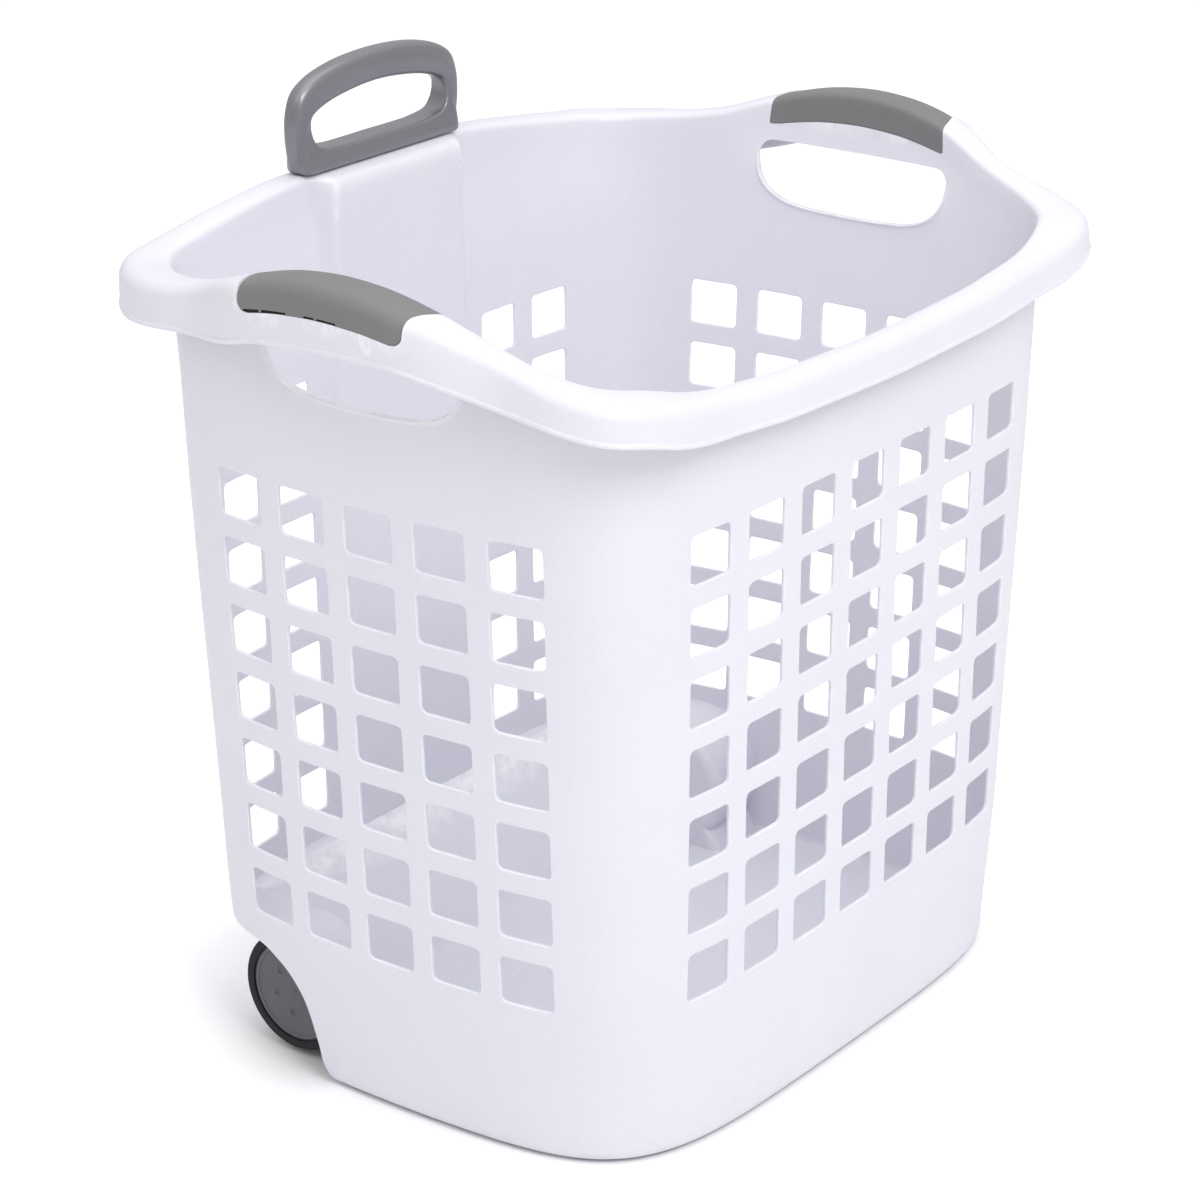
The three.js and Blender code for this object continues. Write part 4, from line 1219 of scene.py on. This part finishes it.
def axle_pin(side, label):
    profile = fillet([(0, 186.7, 0), (7.4, 186.7, 1.2), (7.4, 189.3, 0.3),
                      (AXLE_R, 189.3, 0.2), (AXLE_R, 225.8, 0.7), (0, 225.8, 0)], closed=False)
    return lathe("pin_" + label, profile, side, 64)


def axle_washer(side, label):
    bore = AXLE_R + 0.1
    profile = fillet([(bore, 198.9, 0.25), (8.5, 198.9, 0.25), (8.5, 200.3, 0.25),
                      (bore, 200.3, 0.25)], 3)
    return lathe("washer_" + label, profile, side, 64)


def push_nut(side, label):
    bore, low, high = AXLE_R + 0.1, WHEEL_OUT - 7.1, WHEEL_OUT - 5.9
    profile = fillet([(bore, low, 0.3), (10, low, 0.3), (10.4, WHEEL_OUT - 6.6, 0.3),
                      (7, high, 0.3), (bore, high, 0.3)], 3)
    return lathe("nut_" + label, profile, side, 64)


# builder, node stem, material, body without its side, sharp angle
WHEEL_PARTS = (
    (wheel_tyre, "wheel_tyre_", "tyre_black", "wheel_", 50),
    (wheel_core, "wheel_core_", "wheel_grey", "wheel_", 40),
    (wheel_cap, "wheel_cap_", "wheel_grey", "wheel_", 50),
    (axle_pin, "axle_pin_", "steel", "chassis", 50),
    (axle_washer, "axle_washer_", "steel", "chassis", 50),
    (push_nut, "push_nut_", "steel", "chassis", 50),
)


def build_wheel(side, label):
    parts = [part[0](side, label) for part in WHEEL_PARTS]
    for ob, (_, node, material_name, body, angle) in zip(parts, WHEEL_PARTS):
        mark_sharp(ob, angle)
        dress(ob, material_name, node + label, body + label if body == "wheel_" else body)


# ================================================================= materials
def set_ramp(node, start, start_color, end, end_color):
    for element, position, color in zip(node.color_ramp.elements, (start, end),
                                        (start_color, end_color)):
        element.position, element.color = position, color


def make_material(name, color, tint, rough, grain, grain_scale, edge,
                  metal=0.0, specular=0.5, brushed=False, dirt=0.0):
    """Moulded or metal surface.

    tint is the second colour of large soft patches, grain the strength of the fine bump,
    edge the lightening of convex edges, partly rubbed wear and partly painted highlight,
    and dirt the darkening by scuffs near the floor.
    """
    material = bpy.data.materials.new(name)
    material.use_nodes = True
    nodes, links = material.node_tree.nodes, material.node_tree.links
    bsdf = nodes["Principled BSDF"]
    coords = nodes.new("ShaderNodeTexCoord").outputs["Object"]

    def noise(scale, detail, roughness, distortion=0.0, vector=coords):
        node = nodes.new("ShaderNodeTexNoise")
        node.inputs["Scale"].default_value = scale
        node.inputs["Detail"].default_value = detail
        node.inputs["Roughness"].default_value = roughness
        node.inputs["Distortion"].default_value = distortion
        links.new(vector, node.inputs["Vector"])
        return node.outputs["Fac"]

    def ramp(source, start, end, low=0, high=1):
        """Grey ramp from low to high."""
        node = nodes.new("ShaderNodeValToRGB")
        set_ramp(node, start, (low, low, low, 1), end, (high, high, high, 1))
        links.new(source, node.inputs["Fac"])
        return node.outputs[0]

    def mix(factor, a, b, blend="MIX"):
        node = nodes.new("ShaderNodeMix")
        node.data_type = "RGBA"
        node.blend_type = blend
        for socket, value in ((node.inputs[0], factor), (node.inputs[6], a), (node.inputs[7], b)):
            if isinstance(value, (int, float, tuple)):
                socket.default_value = value
            else:
                links.new(value, socket)
        return node.outputs[2]

    def multiply(a, b):
        node = nodes.new("ShaderNodeMath")
        node.operation = "MULTIPLY"
        links.new(a, node.inputs[0])
        if isinstance(b, float):
            node.inputs[1].default_value = b
        else:
            links.new(b, node.inputs[1])
        return node.outputs[0]

    def map_range(source, source_range, target_range):
        node = nodes.new("ShaderNodeMapRange")
        node.inputs["From Min"].default_value, node.inputs["From Max"].default_value = source_range
        node.inputs["To Min"].default_value, node.inputs["To Max"].default_value = target_range
        links.new(source, node.inputs["Value"])
        return node.outputs[0]

    def bump(height, strength, distance):
        node = nodes.new("ShaderNodeBump")
        node.inputs["Strength"].default_value = strength
        node.inputs["Distance"].default_value = distance
        links.new(height, node.inputs["Height"])
        return node

    # colour: soft patches, then fine specks
    patches = noise(scale=7, detail=4, roughness=0.6, distortion=0.4)
    shade = mix(ramp(patches, start=0.35, end=0.68), (*color, 1), (*tint, 1))
    specks = noise(scale=grain_scale * 0.5, detail=2, roughness=0.5)
    specks = ramp(specks, start=0.3, end=0.7, low=0.96, high=1.03)
    shade = mix(0.6, shade, mix(1.0, shade, specks, "MULTIPLY"))

    # rubbed wear and painted highlight: convex edges are lightened
    geometry = nodes.new("ShaderNodeNewGeometry")
    edges = ramp(geometry.outputs["Pointiness"], start=0.515, end=0.56)
    breaks = ramp(noise(scale=60, detail=4, roughness=0.7), start=0.35, end=0.65)
    worn_edge_and_highlight_color = tuple(min(1, v * 1.25 + 0.04) for v in color) + (1,)
    shade = mix(multiply(multiply(edges, breaks), edge), shade, worn_edge_and_highlight_color)

    if dirt:
        # scuffing towards the floor
        separate = nodes.new("ShaderNodeSeparateXYZ")
        links.new(coords, separate.inputs[0])
        low = map_range(separate.outputs["Z"], source_range=(0.0, 0.10), target_range=(1.0, 0.0))
        scuffs = noise(scale=38, detail=6, roughness=0.75, distortion=1.2)
        scuffs = ramp(scuffs, start=0.5, end=0.72)
        darker = tuple(v * 0.7 for v in color) + (1,)
        shade = mix(multiply(multiply(low, scuffs), dirt), shade, darker)
    links.new(shade, bsdf.inputs["Base Color"])

    # roughness varies with handling
    wear = noise(scale=16, detail=5, roughness=0.65)
    wear = map_range(wear, source_range=(0.25, 0.75), target_range=(rough - 0.05, rough + 0.08))
    links.new(wear, bsdf.inputs["Roughness"])

    # mould grain, and the slight waviness of a large moulding
    grain_coords = coords
    if brushed:
        mapping = nodes.new("ShaderNodeMapping")
        mapping.inputs["Scale"].default_value = (0.03, 1, 1)
        links.new(coords, mapping.inputs[0])
        grain_coords = mapping.outputs[0]
    grains = noise(scale=grain_scale, detail=3, roughness=0.6, vector=grain_coords)
    fine = bump(grains, strength=grain, distance=0.0002)
    waves = bump(noise(scale=22, detail=2, roughness=0.4), strength=0.12, distance=0.002)
    links.new(fine.outputs[0], waves.inputs["Normal"])
    links.new(waves.outputs[0], bsdf.inputs["Normal"])

    bsdf.inputs["Metallic"].default_value = metal
    bsdf.inputs["Specular IOR Level"].default_value = specular
    return material


# edge: lightening of convex edges, partly rubbed wear and partly painted highlight, strongest on
# the white plastic
MATERIAL_SETTINGS = {
    "white_plastic": dict(color=(0.775, 0.77, 0.828), tint=(0.755, 0.752, 0.82), rough=0.34,
                          grain=0.10, grain_scale=1500, edge=0.85, specular=0.45, dirt=0.10),
    "handle_grey": dict(color=(0.27, 0.27, 0.285), tint=(0.25, 0.25, 0.27), rough=0.29,
                        grain=0.06, grain_scale=1200, edge=0.3, metal=0.6),
    "grip_grey": dict(color=(0.20, 0.20, 0.198), tint=(0.185, 0.185, 0.185), rough=0.5,
                      grain=0.45, grain_scale=1000, edge=0.25),
    "wheel_grey": dict(color=(0.135, 0.133, 0.143), tint=(0.095, 0.094, 0.105), rough=0.36,
                       grain=0.30, grain_scale=1300, edge=0.35),
    "tyre_black": dict(color=(0.010, 0.0098, 0.012), tint=(0.02, 0.019, 0.022), rough=0.55,
                       grain=0.5, grain_scale=900, edge=0.2, specular=0.25),
    "steel": dict(color=(0.62, 0.63, 0.65), tint=(0.55, 0.56, 0.58), rough=0.28,
                  grain=0.25, grain_scale=2500, edge=0.2, metal=1.0, brushed=True),
}
materials = {name: make_material(name, **values) for name, values in MATERIAL_SETTINGS.items()}


def dress(ob, material_name, node, body):
    """Gives an object its material and body, and hides the node it replaces."""
    ob.data.materials.clear()
    ob.data.materials.append(materials[material_name])
    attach(ob, body)
    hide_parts(node)


# =================================================================== assembly
basket = build_basket()
boolean(basket, underfloor(), "UNION")
cutters = [grip_piece(side, "seat", 3.0, -1.55, GRIP_HALF + 0.15, seat=True)
           for side, _ in SIDES]
cutters += [leg_slot(side) for side, _ in SIDES]
boolean(basket, join(cutters, "cutters"), "DIFFERENCE")
mark_sharp(basket, 38)
dress(basket, "white_plastic", "basket_body", "chassis")

for side, label in SIDES:
    build_grip(side, label)
    build_wheel(side, label)

dress(build_handle(), "handle_grey", "pull_handle", "chassis")


# ================================================================ stage
def floor_material():
    """Diffuse floor: brighter for the camera than for bounced light; for the camera a painted
    contact shadow darkens it near the basket.
    """
    material = bpy.data.materials.new("floor")
    material.use_nodes = True
    nodes, links = material.node_tree.nodes, material.node_tree.links
    nodes.remove(nodes["Principled BSDF"])
    diffuse = nodes.new("ShaderNodeBsdfDiffuse")
    mix = nodes.new("ShaderNodeMix")
    light_path = nodes.new("ShaderNodeLightPath")
    noise = nodes.new("ShaderNodeTexNoise")
    ramp = nodes.new("ShaderNodeValToRGB")
    contact_shadow_ao = nodes.new("ShaderNodeAmbientOcclusion")
    soften = nodes.new("ShaderNodeMath")
    scale = nodes.new("ShaderNodeVectorMath")

    noise.inputs["Scale"].default_value = 3
    seen_colors = (1.21, 1.21, 1.215, 1), (1.23, 1.23, 1.23, 1)
    for element, color in zip(ramp.color_ramp.elements, seen_colors):
        element.color = color
    mix.data_type = "RGBA"
    bounce_color = (0.93, 0.93, 0.935, 1)
    mix.inputs[6].default_value = bounce_color
    contact_shadow_ao.samples = 8
    contact_shadow_ao.inputs["Distance"].default_value = 0.14
    # painted contact shadow: share of the occlusion, and what is left at full occlusion
    soften.operation = "MULTIPLY_ADD"
    soften.inputs[1].default_value = 0.40
    soften.inputs[2].default_value = 0.60
    scale.operation = "SCALE"

    links.new(noise.outputs["Fac"], ramp.inputs["Fac"])
    links.new(light_path.outputs["Is Camera Ray"], mix.inputs[0])
    links.new(contact_shadow_ao.outputs["AO"], soften.inputs[0])
    links.new(ramp.outputs[0], scale.inputs[0])
    links.new(soften.outputs[0], scale.inputs["Scale"])
    links.new(scale.outputs[0], mix.inputs[7])
    links.new(mix.outputs[2], diffuse.inputs["Color"])
    links.new(diffuse.outputs[0], nodes["Material Output"].inputs["Surface"])
    return material


def build_floor():
    half = 14
    mesh = bpy.data.meshes.new("floor")
    mesh.from_pydata([(-half, -half, 0), (half, -half, 0), (half, half, 0), (-half, half, 0)],
                     [], [(0, 1, 2, 3)])
    floor = link_object("floor", mesh)
    floor.location.z = -0.0004
    mesh.materials.append(floor_material())


def build_world(scene):
    """Sky that brightens with height."""
    world = bpy.data.worlds.new("world")
    scene.world = world
    world.use_nodes = True
    nodes, links = world.node_tree.nodes, world.node_tree.links
    background = nodes["Background"]
    coords = nodes.new("ShaderNodeTexCoord")
    separate = nodes.new("ShaderNodeSeparateXYZ")
    ramp = nodes.new("ShaderNodeValToRGB")
    links.new(coords.outputs["Generated"], separate.inputs[0])
    links.new(separate.outputs["Z"], ramp.inputs["Fac"])
    set_ramp(ramp, start=0.0, start_color=(0.70, 0.705, 0.73, 1),
             end=0.75, end_color=(1.08, 1.085, 1.1, 1))
    links.new(ramp.outputs[0], background.inputs[0])
    background.inputs["Strength"].default_value = 0.76


def area_light(name, location, size, power):
    """Square area light aimed at the middle of the basket."""
    target = Vector((0, 0, 0.3))
    data = bpy.data.lights.new(name, "AREA")
    data.shape = "RECTANGLE"
    data.size = data.size_y = size
    data.energy = power
    light = link_object(name, data)
    light.location = location
    light.rotation_euler = (target - Vector(location)).to_track_quat("-Z", "Y").to_euler()


def build_camera(scene):
    data = bpy.data.cameras.new("camera")
    camera = link_object("camera", data)
    data.sensor_width = 36
    data.lens = 109.33
    data.clip_start, data.clip_end = 0.05, 60
    # the camera's right, up and backward axes, then its place
    camera.matrix_world = Matrix((
        (0.59594, -0.80303, 0.0, 0), (0.29340, 0.21774, 0.93086, 0),
        (-0.7475, -0.5547, 0.3654, 0), (-1.8694, -1.3659, 1.1920, 1))).transposed()
    scene.camera = camera


scene = bpy.context.scene
build_floor()
build_world(scene)
area_light("key", location=(-0.9, -2.2, 2.75), size=1.6, power=44)
area_light("top", location=(0.2, 0.1, 2.8), size=2.2, power=14)
area_light("fill", location=(-2.0, 0.3, 2.6), size=1.4, power=6)
build_camera(scene)
scene.view_settings.view_transform = "Standard"
scene.view_settings.look = "None"

bpy.context.view_layer.update()
